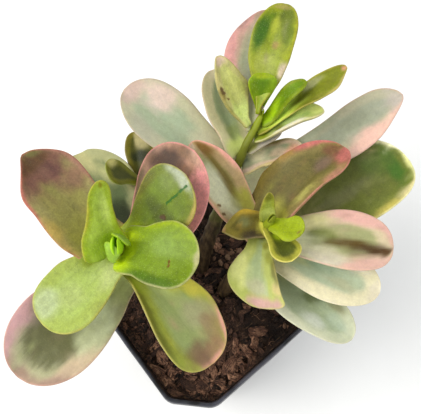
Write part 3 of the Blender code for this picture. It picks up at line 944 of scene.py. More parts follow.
LOOKS = {
    "left_back_leaf_low": Look("72805a", "b2b282", "b5ad8c", 0.55, (
        (0.9, 0.3, 0.25, 0.9, 0.9, "c6c08a"), (0.4, 0, 0.3, 0.5, 0.6, "6c7a4c"),
        # painted shade: the dark patch on its base stands for the shade of the leaf above it
        (0.66, -0.6, 0.16, 0.5, 0.9, "cac88e"), (0.2, 0.1, 0.3, 1.5, 0.95, "383e0c"),
        (0.5, -0.95, 0.1, 0.3, 0.7, "86785a")),
        left=(1.2, 1, 1, 1, 1.1, 1.2), right=(1.3, 1.4, 1.45, 1.4, 1.3, 1.2), sway=1.5, reach=1.02,
        light=1.05),
    "left_side_leaf_large": Look("70704e", "b6b48c", "d0a294", 0.82, (
        (0.75, -0.95, 0.45, 0.4, 0.95, "d9a9aa"), (1, 0.3, 0.1, 1.4, 0.9, "ac8e7c"),
        (0.76, 0.9, 0.3, 0.35, 0.9, "d8bfa0"), (0.9, 0.95, 0.12, 0.3, 0.85, "a88a7a"),
        # painted light: the two pale patches low on the blade lift its shaded base
        (0.5, 0.6, 0.2, 0.5, 0.9, "c2c69c"), (0.36, 0.1, 0.16, 0.9, 0.9, "eef4cc"),
        (0.1, 0, 0.22, 1.4, 0.9, "e0e8a0"), (0.5, -0.6, 0.2, 0.4, 0.8, "9c9884")),
        left=(1.5, 1.35, 1.15, 1.03, 1, 1)),
    "left_inner_leaf_blushed": Look("84604a", "a8806a", "d98a8c", 0.62, (
        (0.72, -0.8, 0.5, 0.55, 0.95, "f0a0a0"), (0.3, -0.8, 0.3, 0.45, 0.9, "cda67c"),
        (0.97, -0.3, 0.08, 0.9, 0.85, "b8947e"), (0.76, 0.45, 0.3, 0.6, 0.98, "4a3826"),
        (0.94, 0.2, 0.06, 0.5, 0.8, "80624a"), (0.45, 0.95, 0.25, 0.3, 0.9, "54481e")),
        left=(1.2, 1, 1, 1.05, 1.1, 1.2), right=(1.6, 1.55, 1.42, 1.3, 1.25, 1.3), light=1.16),
    "left_back_leaf_blushed": Look("86804e", "8c8456", "8e5850", 0.75, (
        (0.86, 0.05, 0.24, 1.7, 0.95, "705048"), (0.78, -0.3, 0.12, 0.3, 0.8, "5e4440"),
        (0.62, -0.5, 0.14, 0.5, 0.8, "7a5c50"), (0.92, 0.1, 0.1, 1.2, 0.8, "52402e"),
        (0.98, -0.5, 0.06, 0.6, 0.9, "64603e"), (0.25, 0, 0.2, 1.2, 0.8, "928f4a"),
        (0.3, 0.98, 0.3, 0.25, 0.85, "a58f58"), (0.72, 1.05, 0.3, 0.2, 0.9, "a4665a"),
        (0.7, -1, 0.4, 0.22, 0.85, "9a7062"), (0.45, 0.9, 0.14, 0.3, 0.7, "a08a4c"),
        (0.04, 0, 0.14, 1.2, 0.8, "8c902a")),
        left=(2.4, 1.95, 1.45, 1.1, 1, 0.5), right=(1.6, 1.05, 1, 1, 1.05, 0.85), sway=1, light=1.75),
    "left_front_leaf": Look("98a468", "98a044", "b9ad5e", 0.7, (
        (0.45, 0.85, 0.22, 0.4, 0.95, "c8be50"), (0.28, 0.4, 0.2, 0.5, 0.8, "bebe50"),
        (0.45, -1, 0.5, 0.34, 0.95, "66680c"), (0.66, 0.4, 0.16, 0.6, 0.7, "a09a78"),
        (0.8, 0.5, 0.16, 0.5, 0.7, "94785c"), (0.95, 0, 0.12, 1.2, 0.85, "96745a"),
        (0.84, 1, 0.2, 0.22, 0.9, "e0a294"), (1, 0.1, 0.06, 1.4, 0.9, "dda08c"),
        (0.3, 0, 0.16, 0.4, 0.7, "b2bc74"), (0.88, -0.3, 0.12, 0.5, 0.8, "806450"),
        (0.08, 0, 0.25, 1.2, 0.85, "88982c")),
        left=(1.3, 1.05, 1, 1, 1, 1.1), right=(1.4, 1, 0.93, 1, 1.15, 1.4), sway=-0.5, light=1.15),
    "left_side_leaf_fresh": Look("b4c86a", "b3c462", "c0b45c", 0.7, (
        (0.15, 0.6, 0.24, 0.7, 0.85, "ccd88c"), (0.2, -0.55, 0.14, 0.4, 0.95, "8a9a30"),
        # painted highlight: the pale grey-green spot near its tip stands for a reflection of the sky
        (0.02, 0, 0.08, 1.2, 0.8, "9cb41e"), (0.84, -0.4, 0.2, 0.6, 0.55, "d0dab8"),
        (0.5, 1, 0.14, 0.3, 0.7, "a6ae5c"), (0.6, 0, 0.2, 0.5, 0.5, "c2ce86")),
        left=(1.5, 1.3, 1.12, 1.05, 1.05, 1.1), right=(1.3, 1.2, 1.12, 1, 1, 1.1), light=0.85),
    "left_inner_leaf_fresh": Look("88a034", "8a9a34", "d0c060", 0.7, (
        (0.96, 0.1, 0.1, 1.2, 0.95, "dce4c4"), (0.5, -0.2, 0.14, 1.3, 0.9, "667410"),
        (0.6, 0.95, 0.3, 0.3, 0.8, "7c7a24"), (0.75, -0.5, 0.1, 0.4, 0.6, "7c9034"),
        # painted light: the bright patch at its base lifts the shade there
        (0.78, -1, 0.25, 0.22, 0.95, "d6be60"), (0.08, 0, 0.24, 1.4, 0.95, "d0e834"),
        (0.82, 0.3, 0.12, 0.4, 0.5, "a0b064")),
        left=(1.4, 0.95, 0.9, 0.95, 1.12, 1.3), right=(1.7, 1.15, 1.15, 1.22, 1.3, 1.4), light=0.62,
        marks=(((-2.7, 24.8), (-1.4, 17.1), 0.5, "1e5a14"), ((-3.6, 13.9), (-2.8, 13.3), 1, "4c3014"))),
    "left_top_leaf_slim": Look("a0b64c", "96aa3a", "a8a040", 0.7, (
        (0.06, 0, 0.16, 1.4, 0.85, "8ba81c"), (0.6, 1, 0.4, 0.2, 0.8, "8c8c34"),
        (0.94, -0.2, 0.07, 0.4, 0.9, "7e7c1c"), (0.6, -0.1, 0.3, 0.5, 0.6, "b6c66a")),
        left=(3, 2.3, 1.5, 1.2, 1.25, 1.4), right=(1.2, 0.75, 0.66, 0.7, 0.95, 1.2), sway=-2.4, light=1.1,
        wave=0.5),
    "left_top_leaf_round": Look("88a23a", "8ca632", "d0c890", 0.75, (
        (0.6, 1, 0.5, 0.25, 0.9, "a8be2e"), (0.99, 0.2, 0.06, 1.1, 0.8, "cfc896"),
        (0.5, -0.9, 0.6, 0.35, 0.95, "5e7c08"), (0.85, -0.4, 0.14, 0.5, 0.6, "7a921e"),
        # painted light: the bright patch at its base lifts the shade under the bud
        (0.5, 0.3, 0.25, 0.4, 0.5, "98b45a"), (0, 0, 0.18, 1.4, 0.95, "cce828")),
        left=(2.2, 1.6, 1.3, 1.18, 1.1, 1.1), right=(1.8, 1.35, 1.12, 1.02, 1.08, 1.2), light=0.8,
        marks=(((-2.3, 14.6), (-1.1, 14.3), 0.5, "6a4210"),)),
    "left_bud_leaf_front": Look("a0cc10", "9ccc08", "b8d818",
        left=(2.2, 1.9, 1.6, 1.5, 1.4, 1.3), right=(2.2, 1.9, 1.6, 1.5, 1.4, 1.3), light=0.85),
    "left_bud_leaf_back": Look("98c216", "94be0c", "aecb1c",
        left=(2.2, 1.9, 1.7, 1.6, 1.5, 1.3), right=(2.2, 1.9, 1.6, 1.5, 1.4, 1.3), light=0.9),
    "back_left_leaf_pale": Look("aeba9a", "c8c6a4", "bba395", 0.7, (
        (0.98, -0.1, 0.14, 1.3, 0.95, "d2b8aa"), (0.76, -0.5, 0.2, 0.6, 0.95, "e6cfc0"),
        (0.72, 0.8, 0.2, 0.5, 0.8, "b6b49c"), (0.5, 0, 0.2, 0.6, 0.7, "aebc9c"),
        (0.22, -0.2, 0.2, 1.2, 0.8, "ccc6a6"), (0.5, -1, 0.3, 0.2, 0.7, "c6bca0")),
        left=(1.4, 1.15, 1.05, 1, 1, 1), light=1.1),
    "back_left_leaf_upright": Look("7e8a68", "b8b28c", "bfa48f", 0.6, (
        (0.02, 0, 0.14, 1.2, 0.85, "b8c46c"), (0.95, 0, 0.12, 1, 0.6, "b8b090"),
        (0.55, 0, 0.16, 0.3, 0.7, "828666"), (0.2, 0, 0.14, 0.6, 0.8, "7c8650")),
        left=(1.3, 1.05, 0.95, 0.82, 0.8, 0.8), right=(1.6, 1.25, 1, 1, 1, 1), sway=-1, light=1.2),
    "back_right_leaf_long": Look("a0a48e", "b6b296", "c8a090", 0.72, (
        (0.78, -0.95, 0.32, 0.6, 0.95, "e2b8a8"), (0.45, -0.7, 0.2, 0.5, 0.9, "d8cca0"),
        # painted light: the near-white patch at its base lifts the shade there
        (0.97, 0, 0.08, 1.2, 0.8, "b6aca2"), (0.1, 0, 0.26, 1.4, 0.95, "ffffd6"),
        (0.5, 0.8, 0.2, 0.5, 0.8, "b0b69c"), (0.72, 0.1, 0.14, 0.4, 0.6, "94987e")),
        left=(2.4, 1.1, 0.62, 0.66, 0.9, 1.25), right=(1.7, 1.4, 1.35, 1.35, 1.25, 0.9), sway=0.3, light=1.1),
    "back_right_leaf_small": Look("767c62", "a89480", "b8ac80", 0.7, (
        (0.85, -0.2, 0.25, 0.8, 0.85, "c08c74"), (0.5, 0.9, 0.5, 0.4, 0.95, "5e5626"),
        (0.55, 0, 0.2, 0.6, 0.5, "b09480"), (0.3, -1, 0.4, 0.3, 0.9, "a08e5e"),
        (0.2, 0.2, 0.2, 0.8, 0.8, "b8b090")),
        left=(2.2, 1.8, 1.2, 1, 1, 1), right=(2, 1.1, 0.9, 0.7, 0.6, 0.5), light=1.7),
    "back_right_leaf_pale": Look("c8c0a2", "b4aca0", "b8ac94", 0.6, (
        (0.05, 0, 0.2, 1.3, 0.9, "8a8c34"), (0.35, 0.2, 0.1, 0.7, 0.7, "d6ceac")),
        light=1.1),
    "back_top_leaf_blushed": Look("a6aa88", "b9a78e", "c99890", 0.6, (
        (0.66, 0.92, 0.4, 0.42, 0.95, "dfa29c"), (0.97, 0.3, 0.08, 1, 0.8, "a88c74"),
        (0.88, 0.98, 0.1, 0.25, 0.85, "ac8880"), (0.05, 0, 0.26, 1.2, 0.9, "c6cc9a"),
        (0.3, 0.9, 0.14, 0.4, 0.8, "c8b478"), (0.45, -0.95, 0.35, 0.35, 0.9, "e0c2a8"),
        (0.5, 0.15, 0.3, 0.3, 0.6, "a2a595")),
        left=(0.5, 0.9, 1.12, 1.12, 1, 0.8), right=(0.5, 0.9, 1, 1, 1, 1), sway=-1.5, light=0.95, mottle=0.6),
    "back_top_leaf_spoon": Look("9caa3a", "a6b034", "b4aa50", 0.75, (
        # painted shade, partly its darker underside: the dark green patches lie where its tip curls over
        (0.71, 0.62, 0.26, 0.42, 0.98, "4c7202"), (0.86, 0.25, 0.06, 0.4, 0.8, "6c841c"),
        (0.87, -0.4, 0.16, 0.6, 0.95, "6c7a30"), (0.7, -0.6, 0.14, 0.4, 0.9, "6e8018"),
        (0.78, 0.05, 0.1, 0.2, 0.8, "bcc44a"), (0.96, 0, 0.04, 1.2, 0.8, "b4a860"),
        (0.4, 0, 0.16, 0.9, 0.7, "b3bc58"), (0.59, -0.15, 0.04, 0.22, 0.8, "b08e54"),
        (0.12, 0, 0.2, 1.2, 0.9, "b6c850"), (0.36, -0.95, 0.1, 0.35, 0.98, "e6d2b4"),
        (-0.05, 0, 0.2, 1.4, 0.9, "8ea020"), (0.7, -1, 0.25, 0.15, 0.9, "a8ae1c")),
        left=(0.3, 0.75, 1, 0.98, 1, 1), right=(0.4, 1.15, 1.1, 1, 1.05, 1.1), sway=-1.5, light=0.8),
    "back_top_leaf_left": Look("bcbe6e", "bdb676", "a89c68", 0.7, (
        (0.52, 0.95, 0.16, 0.35, 0.9, "7c6c30"), (0.94, 0, 0.12, 1.3, 0.9, "ccb49c"),
        (0.1, 0, 0.25, 1.2, 0.9, "c6d47c"), (0.25, 1, 0.3, 0.3, 0.9, "8c8c44"),
        (0.75, 0, 0.1, 0.5, 0.5, "c8c87e")),
        left=(0.8, 1.1, 1.05, 0.95, 0.8, 0.6), right=(0.6, 1.5, 1.8, 1.3, 1, 0.9), sway=-2.4, light=1.15,
        marks=(((3.1, 12.1), (2.9, 10.5), 0.8, "5a4020"), ((2.5, 8.8), (2.4, 8.4), 0.4, "6a4a22"))),
    "back_top_leaf_pointed": Look("6c7222", "747a2c", "988c48", 0.6, (
        (0.98, 0, 0.06, 1, 0.9, "b98a6e"), (0.2, 0, 0.24, 1.4, 0.95, "c8e060"),
        (0.62, 0.4, 0.14, 0.5, 0.7, "9a9a70"), (0.8, -1, 0.2, 0.25, 0.8, "a49860"),
        (0.5, -0.9, 0.14, 0.4, 0.8, "62660e")),
        left=(1.4, 0.9, 0.6, 0.5, 0.45, 0.4), right=(1.6, 1.2, 1.2, 1.45, 1.5, 0.9), light=1.42, drop=5),
    "back_top_leaf_right": Look("90a45a", "a8b268", "d2c49a", 0.6, (
        (0.9, 0.2, 0.14, 1, 0.85, "c2ca76"), (0.65, 0.7, 0.25, 0.5, 0.9, "dce888"),
        (0.45, -0.75, 0.35, 0.4, 0.95, "e4e0cc"), (0.3, -0.1, 0.1, 0.5, 0.9, "72743a"),
        (0.05, 0, 0.14, 1.4, 0.9, "84922a")),
        left=(1.6, 1.3, 1.2, 1.2, 1.1, 1), right=(1.4, 0.85, 0.6, 0.55, 0.6, 0.7), light=1.15, drop=4.5,
        wave=0.8),
    "back_bud_leaf_round": Look("668604", "78920c", "a0b02c", 0.6, (
        (0, 0, 0.4, 1.4, 0.9, "5c7804"), (0.85, 0, 0.16, 1.3, 0.85, "8e9c24"),
        (0.55, 0.1, 0.2, 0.6, 0.6, "5e7a02")),
        left=(0.35, 0.5, 0.85, 0.95, 0.85, 0.9), right=(0.35, 0.55, 0.9, 1.05, 1, 1), reach=0.85, light=1.2,
        drop=8.5),
    "back_bud_leaf_slim": Look("6c8804", "7c900c", "8e9c2c", 0.6, (
        (0.1, 0.2, 0.3, 1.2, 0.9, "a8cc14"), (0.7, 0.8, 0.3, 0.3, 0.6, "94984a")),
        left=(2.2, 2.2, 1.7, 1.2, 1, 1), right=(2.4, 1.7, 1.2, 1.2, 1.1, 1), drop=8),
    "right_back_leaf_folded": Look("8c8a52", "a58e66", "dda094", 0.5, (
        (0.52, 0.4, 0.5, 0.7, 0.95, "ccccae"), (0.75, -1, 0.4, 0.3, 0.95, "dca090"),
        (0.96, 0.5, 0.08, 0.6, 0.85, "c4b098"), (0.87, -0.35, 0.12, 0.5, 0.95, "765832"),
        (0.62, -0.26, 0.42, 0.22, 0.9, "6c5c28"), (0.25, -0.5, 0.2, 0.6, 0.9, "94923c"),
        (0.35, 1, 0.4, 0.2, 0.8, "c09c78"), (0.06, 0, 0.12, 1.2, 0.8, "9a9a48")),
        left=(1.6, 1.6, 1.35, 1.2, 1.15, 1.1), right=(1.6, 1.15, 1, 0.92, 0.75, 0.5), light=1.28, mottle=0.6,
        marks=(((6.4, 13), (6, 12.5), 0.7, "6a4614"), ((6.9, 10.2), (6.2, 9.7), 0.7, "5c3c10"))),
    "right_upper_leaf_blushed": Look("70683e", "8a7c4c", "c87a74", 0.75, (
        (0.95, -0.6, 0.14, 0.9, 0.9, "bc6c68"), (0.84, 0.98, 0.28, 0.3, 0.95, "c4706c"),
        (0.7, -0.9, 0.16, 0.3, 0.9, "bc8a70"), (0.9, 0.3, 0.1, 0.5, 0.85, "7a5442"),
        (0.42, -0.5, 0.2, 0.4, 0.9, "b0aa62"), (0.1, -0.2, 0.16, 0.9, 0.95, "b8b44e"),
        (0.74, 0, 0.14, 0.4, 0.75, "7c665a"), (0.3, 0.9, 0.3, 0.3, 0.8, "746620"),
        (0.6, 0.95, 0.12, 0.25, 0.8, "a08048")),
        left=(2.8, 2.5, 1.8, 1.35, 1.15, 1), right=(1.4, 0.85, 0.66, 0.66, 0.85, 1), light=0.98),
    "right_upper_leaf_dark": Look("5c6236", "646b36", "c6c39a", 0.85, (
        (0.9, 0.1, 0.06, 0.9, 0.85, "3e5e1a"), (0.84, 0.4, 0.16, 0.5, 0.8, "4e5e32"),
        (0.45, -1, 0.25, 0.2, 0.85, "88883e"), (0.72, -1.02, 0.2, 0.3, 0.9, "a39852"),
        (1.01, 0, 0.045, 1.6, 0.95, "c4c486"), (0.85, 1.05, 0.3, 0.24, 0.95, "dcdab4"),
        (0.92, -1, 0.12, 0.26, 0.9, "b8ae80"), (0.5, 0, 0.3, 0.3, 0.5, "6c6a50"),
        (0.1, 0, 0.3, 1.4, 0.9, "8e8c5e")),
        left=(1.1, 1.05, 1.15, 1.36, 1.52, 1.55), right=(1.2, 1, 1, 1.03, 1.05, 1.2), sway=0.5, light=1.55),
    "right_side_leaf_upper": Look("a8aa78", "dccba6", "dcb2a0", 0.6, (
        (0.75, 0.85, 0.4, 0.5, 0.95, "e8b6aa"), (0.32, 0.6, 0.26, 0.45, 0.9, "dcd494"),
        (0.8, -0.85, 0.3, 0.45, 0.95, "e8bcac"), (0.45, -0.75, 0.25, 0.4, 0.9, "dcd4bc"),
        (0.45, -0.45, 0.14, 0.3, 0.8, "d8d2b0"), (0.42, 0.1, 0.2, 0.3, 0.9, "868e4c"),
        # painted shade: the three dark patches run along the fold of the blade; painted light: the pale patch
        # at its base lifts the shade there
        (0.66, -0.08, 0.28, 0.27, 0.95, "665222"), (0.84, -0.26, 0.22, 0.3, 0.98, "58420f"),
        (0.95, -0.42, 0.09, 0.3, 0.95, "60461c"), (0.1, 0, 0.3, 1.5, 0.95, "ffffd0"),
        (0.99, 0.5, 0.04, 0.6, 0.8, "dcb4a4")),
        left=(1.4, 1.15, 1.05, 1, 1, 1.1), right=(1.4, 1.1, 1, 1, 1.05, 1.2), sway=-0.6, light=0.92,
        mottle=0.35),
    "right_side_leaf_middle": Look("b2bea0", "ded8b4", "e0d4b8", 0.55, (
        (0.4, 0.1, 0.3, 0.3, 0.85, "9cb094"), (0.6, 0.7, 0.35, 0.4, 0.9, "f2ecd4"),
        (0.15, 0.2, 0.24, 1.2, 0.9, "ccd098"), (0.6, -0.8, 0.5, 0.35, 0.9, "ece4c0"),
        (0.7, -0.25, 0.14, 0.25, 0.7, "b8b896"), (0.97, 0, 0.06, 1.2, 0.8, "d8d0b8")),
        left=(1.4, 1.1, 1, 1, 0.95, 0.9), right=(1.7, 1.4, 1.2, 1.1, 1.05, 1)),
    "right_side_leaf_lower": Look("aab694", "cdd2b2", "ddd9be", 0.6, (
        # painted shade: the two dark patches stand for the shade of the leaves over it
        (0.15, 0.2, 0.26, 1.2, 0.95, "a8ac7c"), (0.34, 0.75, 0.3, 0.4, 0.95, "44521f"),
        (0.54, 0.3, 0.12, 0.45, 0.9, "5e6a3a"), (0.74, 0.6, 0.12, 0.3, 0.8, "8e8e66"),
        (0.84, 0.1, 0.14, 0.4, 0.6, "bccab2"), (0.7, -0.4, 0.14, 0.3, 0.8, "dce0d0"),
        (0.5, -0.9, 0.5, 0.3, 0.7, "dcdcc0")),
        left=(1.4, 1.1, 1, 1, 1, 1), right=(2, 1.85, 1.5, 1.25, 1.05, 1), light=0.85),
    "right_front_leaf_spoon": Look("b0be8a", "b8c064", "c8bc80", 0.6, (
        (0.95, 0.1, 0.14, 1.2, 0.95, "cfa49c"), (0.72, 0.9, 0.12, 0.3, 0.8, "d2bc80"),
        (0.48, 0.95, 0.22, 0.4, 0.95, "7c7a38"), (0.3, 0.6, 0.14, 0.4, 0.8, "9c9e3c"),
        (0.45, -0.7, 0.35, 0.5, 0.95, "e2e490"), (0.72, 0, 0.14, 0.5, 0.7, "c0ba96"),
        (0.14, 0.4, 0.08, 0.4, 0.8, "8e8a28"), (-0.02, 0, 0.1, 1.4, 0.95, "605a06")),
        left=(1.2, 0.85, 0.72, 0.72, 0.88, 1.5), right=(1.6, 1.25, 1.2, 1.15, 0.95, 0.7), sway=1.6),
    "right_bud_leaf_left": Look("5e5628", "746a34", "94825a", 0.6, (
        (0.4, -0.95, 0.35, 0.4, 0.9, "b0943c"), (0.97, 0, 0.08, 1.2, 0.8, "a07c58"),
        (0.3, 0.8, 0.4, 0.5, 0.95, "40380e"), (0.45, -0.1, 0.2, 0.5, 0.8, "6c6e48"),
        (0.55, 0.1, 0.12, 0.3, 0.7, "927838"), (-0.04, 0, 0.1, 1.4, 0.95, "ccc658")),
        left=(2.2, 1.8, 1.4, 1.1, 0.75, 0.4), right=(2.3, 1.9, 1.5, 1.1, 0.75, 0.4), sway=2.8, light=1.4),
    "right_bud_leaf_cupped": Look("484c0a", "86843a", "ccc070", 0.85, (
        (0.2, 0.4, 0.16, 0.7, 0.9, "8a9c10"), (0.92, 0, 0.08, 0.4, 0.7, "66641c")),
        left=(1.4, 1.1, 1, 1, 1.1, 1.2), light=1.75),
    "right_bud_leaf_round": Look("a2b430", "a6b836", "a8b028", 0.8, (
        (0.86, -0.3, 0.06, 0.14, 0.7, "8a5a44"),),
        left=(1.3, 1, 1, 0.95, 0.9, 0.8), right=(1.7, 1.5, 1.35, 1.2, 1.1, 1), light=0.88),
    "right_bud_leaf_slim": Look("a2ae4c", "a4ac44", "a8984a", 0.6, (
        (0.85, 0.2, 0.25, 1.3, 0.9, "78781a"), (0.15, 0, 0.25, 1.2, 0.9, "d2dc74")),
        left=(1.7, 1.4, 1.05, 0.8, 0.7, 0.6), right=(1.4, 1.1, 0.9, 0.75, 0.7, 0.6), sway=-0.4, reach=0.85,
        light=0.8),
    "low_leaf_back": Look("4e4e22", "68622c", "8a7e52", 0.75, (
        (0.8, -0.4, 0.25, 0.8, 0.9, "a0966c"), (0.5, 0, 0.14, 1.2, 0.8, "323610")),
        left=(1.4, 1, 0.8, 0.8, 0.8, 0.9), right=(1.4, 1.3, 1.35, 1.4, 1.3, 1.2), sway=-1, light=1.4),
    "low_leaf_left": Look("4a4c1a", "66662a", "7e8648", 0.75, (
        (0.85, -0.5, 0.2, 0.9, 0.9, "a8a26c"),),
        left=(1.2, 1.2, 1.3, 1.3, 1.3, 1.2), right=(1, 0.85, 0.75, 0.7, 0.7, 0.8), reach=0.94, light=1.9),
}

LEAF_KINDS = {  # speckle, wax, gloss and mottling
    "fresh_leaf": (0.9, 0.12, 0.22, 1.1),
    "pale_leaf": (0.3, 0.14, 0.36, 0.55),
    "blushed_leaf": (0.3, 0.12, 0.32, 1.25),
    "dark_leaf": (0.35, 0.12, 0.32, 0.9),
}
LARGE_BLANK = (58, 52)  # rings and sides of a leaf's mesh
SMALL_BLANK = (20, 20)
SMALL_LEAF = 15 * MM  # a shorter leaf is a small one
SMALL_WAVE, SMALL_RELIEF = 0.4, 0.3  # strength of a small leaf's waves, and of its dents and groove
SMALL_RIM = 1.6  # a small leaf's rim is this much narrower
BASE_RINGS = ((0, -2.0), (0.7, -1.9), (0.9, -1.2))  # share of the base's width, and mm before it
CLASP_CURVE = 8 * MM  # round the stem, the base's sides go back by their distance squared over this
CLASP_DEPTH = 2 * MM  # and by no more than this
UPPER_FULLNESS, LOWER_FULLNESS = 0.92, 1.08
MARGIN_SHAPE = 0.82  # below 1, the margins are blunter than an ellipse's
FOLD_SHAPE = 1.7  # 1 would fold a leaf in a V, and more curves it
DENT_DEPTH = 0.45 * MM
GROOVE_DEPTH = 0.3 * MM  # along the midrib
GROOVE_WIDTH = 1.3  # mm


class Section(NamedTuple):
    """A leaf's oval rings, from its base to its tip, read from its CAD node."""

    length: np.ndarray  # distance of each ring from the base, along the midrib
    middle: np.ndarray  # on the midrib
    up: np.ndarray  # out of the leaf's upper side
    wide: np.ndarray  # half width
    thick: np.ndarray  # half thickness
    lift: np.ndarray  # height of the margins above the midrib
    across: np.ndarray  # towards the left margin, the same all along


def read_rings(node):
    """The points of the node's rings, found by walking from its flat base to its flat tip."""
    mesh = frame["nodes"][node].data
    every = np.array([v.co for v in mesh.vertices], dtype=float)
    points, index = np.unique(every, axis=0, return_inverse=True)
    index = index.ravel()
    faces = index[np.array([p.vertices[:] for p in mesh.polygons])]
    normals = np.cross(points[faces[:, 1]] - points[faces[:, 0]], points[faces[:, 2]] - points[faces[:, 0]])
    areas = np.linalg.norm(normals, axis=1)
    normals /= areas[:, None]
    offsets = (normals * points[faces[:, 0]]).sum(1)
    alike = (normals @ normals.T > 0.99) & (np.abs(offsets[:, None] - offsets) < 0.05 * MM)
    most = alike.sum(1) >= alike.sum(1).max() - 1
    beside = {}
    for a, b, c in faces:
        for one, others in ((a, (b, c)), (b, (a, c)), (c, (a, b))):
            beside.setdefault(one, set()).update(others)

    def spread(face):
        return np.ptp(points[faces[alike[face]].ravel()], axis=0).sum()

    for base in sorted(np.flatnonzero(most), key=spread, reverse=True):
        face = max(np.flatnonzero(alike[base]), key=lambda other: areas[other])
        ring = set(np.flatnonzero(np.abs((points - points[faces[face, 0]]) @ normals[face]) < 0.1 * MM))
        rings, seen = [], set()
        while ring:
            rings.append(points[sorted(ring)])
            seen |= ring
            ring = set().union(*(beside[i] for i in ring)) - seen
        if max(len(ring) for ring in rings) == len(rings[0]) <= 10:
            return rings
    raise ValueError(f"{node} isn't made of rings")


def read_section(node):
    """The leaf's Section: its midrib, and its width, thickness and fold at each ring."""
    rings = read_rings(node)
    widest = max(rings, key=lambda ring: np.linalg.norm(np.ptp(ring, axis=0)))
    _, _, axes = np.linalg.svd(widest - widest.mean(0))
    across, up_guess = axes[0], axes[1]
    reach = (widest - widest.mean(0)) @ across
    margins = (widest[reach.argmax()] + widest[reach.argmin()]) / 2
    if (margins - widest.mean(0)) @ up_guess < 0:
        up_guess = -up_guess
    if np.cross(across, up_guess) @ (rings[-1].mean(0) - rings[0].mean(0)) < 0:
        across = -across
    rows = []
    for ring in rings:
        centre = ring.mean(0)
        level = ring - centre
        level -= np.outer(level @ across, across)
        _, _, axes = np.linalg.svd(level)
        up = axes[0] if axes[0] @ up_guess > 0 else -axes[0]
        x, z = (ring - centre) @ across, (ring - centre) @ up
        left, right = x.argmax(), x.argmin()
        wide = (x[left] - x[right]) / 2
        share = np.abs(x / wide)
        inner = np.flatnonzero(share < share.min() + 0.02)
        rise = (1 - share.min() ** 1.5) or 1
        margin = (z[left] + z[right]) / 2
        lift = (margin - (z[inner].max() + z[inner].min()) / 2) / rise
        thick = (z[inner].max() - z[inner].min()) / 2 / math.sqrt(1 - share.min() ** 2)
        middle = (ring[left] + ring[right]) / 2
        rows.append((middle + up * (margin - z[left] / 2 - z[right] / 2 - lift), up, wide, thick, lift))
    middle, up, wide, thick, lift = (np.array(column) for column in zip(*rows))
    wide[-1] = thick[-1] = lift[-1] = 0
    steps = np.linalg.norm(np.diff(middle, axis=0), axis=1)
    return Section(np.concatenate([[0], np.cumsum(steps)]), middle, up, wide, thick, lift, across)


def between(rows, place):
    """Values at fractional places along rows, joined smoothly."""
    last = len(rows) - 1
    at = np.clip(np.floor(place).astype(int), 0, last - 1)
    share = place - at
    if rows.ndim > 1:
        share = share[:, None]
    before, start, end, after = (rows[np.clip(at + step, 0, last)] for step in (-1, 0, 1, 2))
    leave, arrive = (end - before) / 2, (after - start) / 2
    return (
        start * (2 * share**3 - 3 * share**2 + 1)
        + leave * (share**3 - 2 * share**2 + share)
        + end * (3 * share**2 - 2 * share**3)
        + arrive * (share**3 - share**2)
    )


class Blank(NamedTuple):
    """A closed skin with its poles at a leaf's base and tip, to be copied and shaped."""

    piece: bpy.types.Object
    small: bool
    rings: int  # from the base to the tip
    ring: np.ndarray  # the ring that each point is on
    angle: np.ndarray  # where it is round the ring: 0 at the left margin, and more than 0 on the upper side


def leaf_blank(name, small, rings, sides):
    bpy.ops.mesh.primitive_uv_sphere_add(segments=sides, ring_count=rings, radius=1)
    piece = named(name)
    x, y, z = points_of(piece).T
    ring = np.round(np.arccos(np.clip(-z, -1, 1)) / math.pi * rings)
    return Blank(piece, small, rings, ring, np.arctan2(y, x))


def margins(look, along):
    """Width of the leaf's left half and of its right half against the CAD node's, at each place along it."""
    sides = (np.array(side) for side in (look.left, look.right))
    return [np.maximum(between(side, along * (len(side) - 1)), 0) for side in sides]


def outline_distance(look, x, y, section):
    """Distance of each place on the flattened leaf from its side and tip outline."""
    rows = np.linspace(0, len(section.length) - 1, 160)
    along = between(section.length, rows)
    gaps = []
    for margin, side in zip(margins(look, along / section.length[-1]), (1, -1)):
        reach = between(section.wide, rows) * margin * side
        gaps.append(np.hypot(x[:, None] - reach, y[:, None] - along).min(1))
    return np.where(x > 0, *gaps)


def paint(look, along, across, streaky):
    """The leaf's skin and heart colours at each point, with uneven patches laid over one another."""
    colour = np.tile(pigment(look.skin), (len(along), 1))
    heart = np.tile(pigment(look.heart), (len(along), 1))
    for number, (at, side, reach, spread, strength, tone) in enumerate(look.patches):
        near = np.exp(-(((along - at) / reach) ** 2) * 1.6 - ((across - side) / spread) ** 2 * 1.6)
        uneven = field(streaky + (0, 0, number), number) + 0.6 * field(streaky * 2.3, number + 9)
        share = strength * smooth_step(near + 0.3 * uneven, 0.1, 0.8)[:, None]
        colour += (pigment(tone) - colour) * share
        heart += (pigment(tone) - heart) * share
    # painted light: the colours are scaled by the leaf's light, for the light or shade that falls on it
    return colour * look.light, heart * look.light


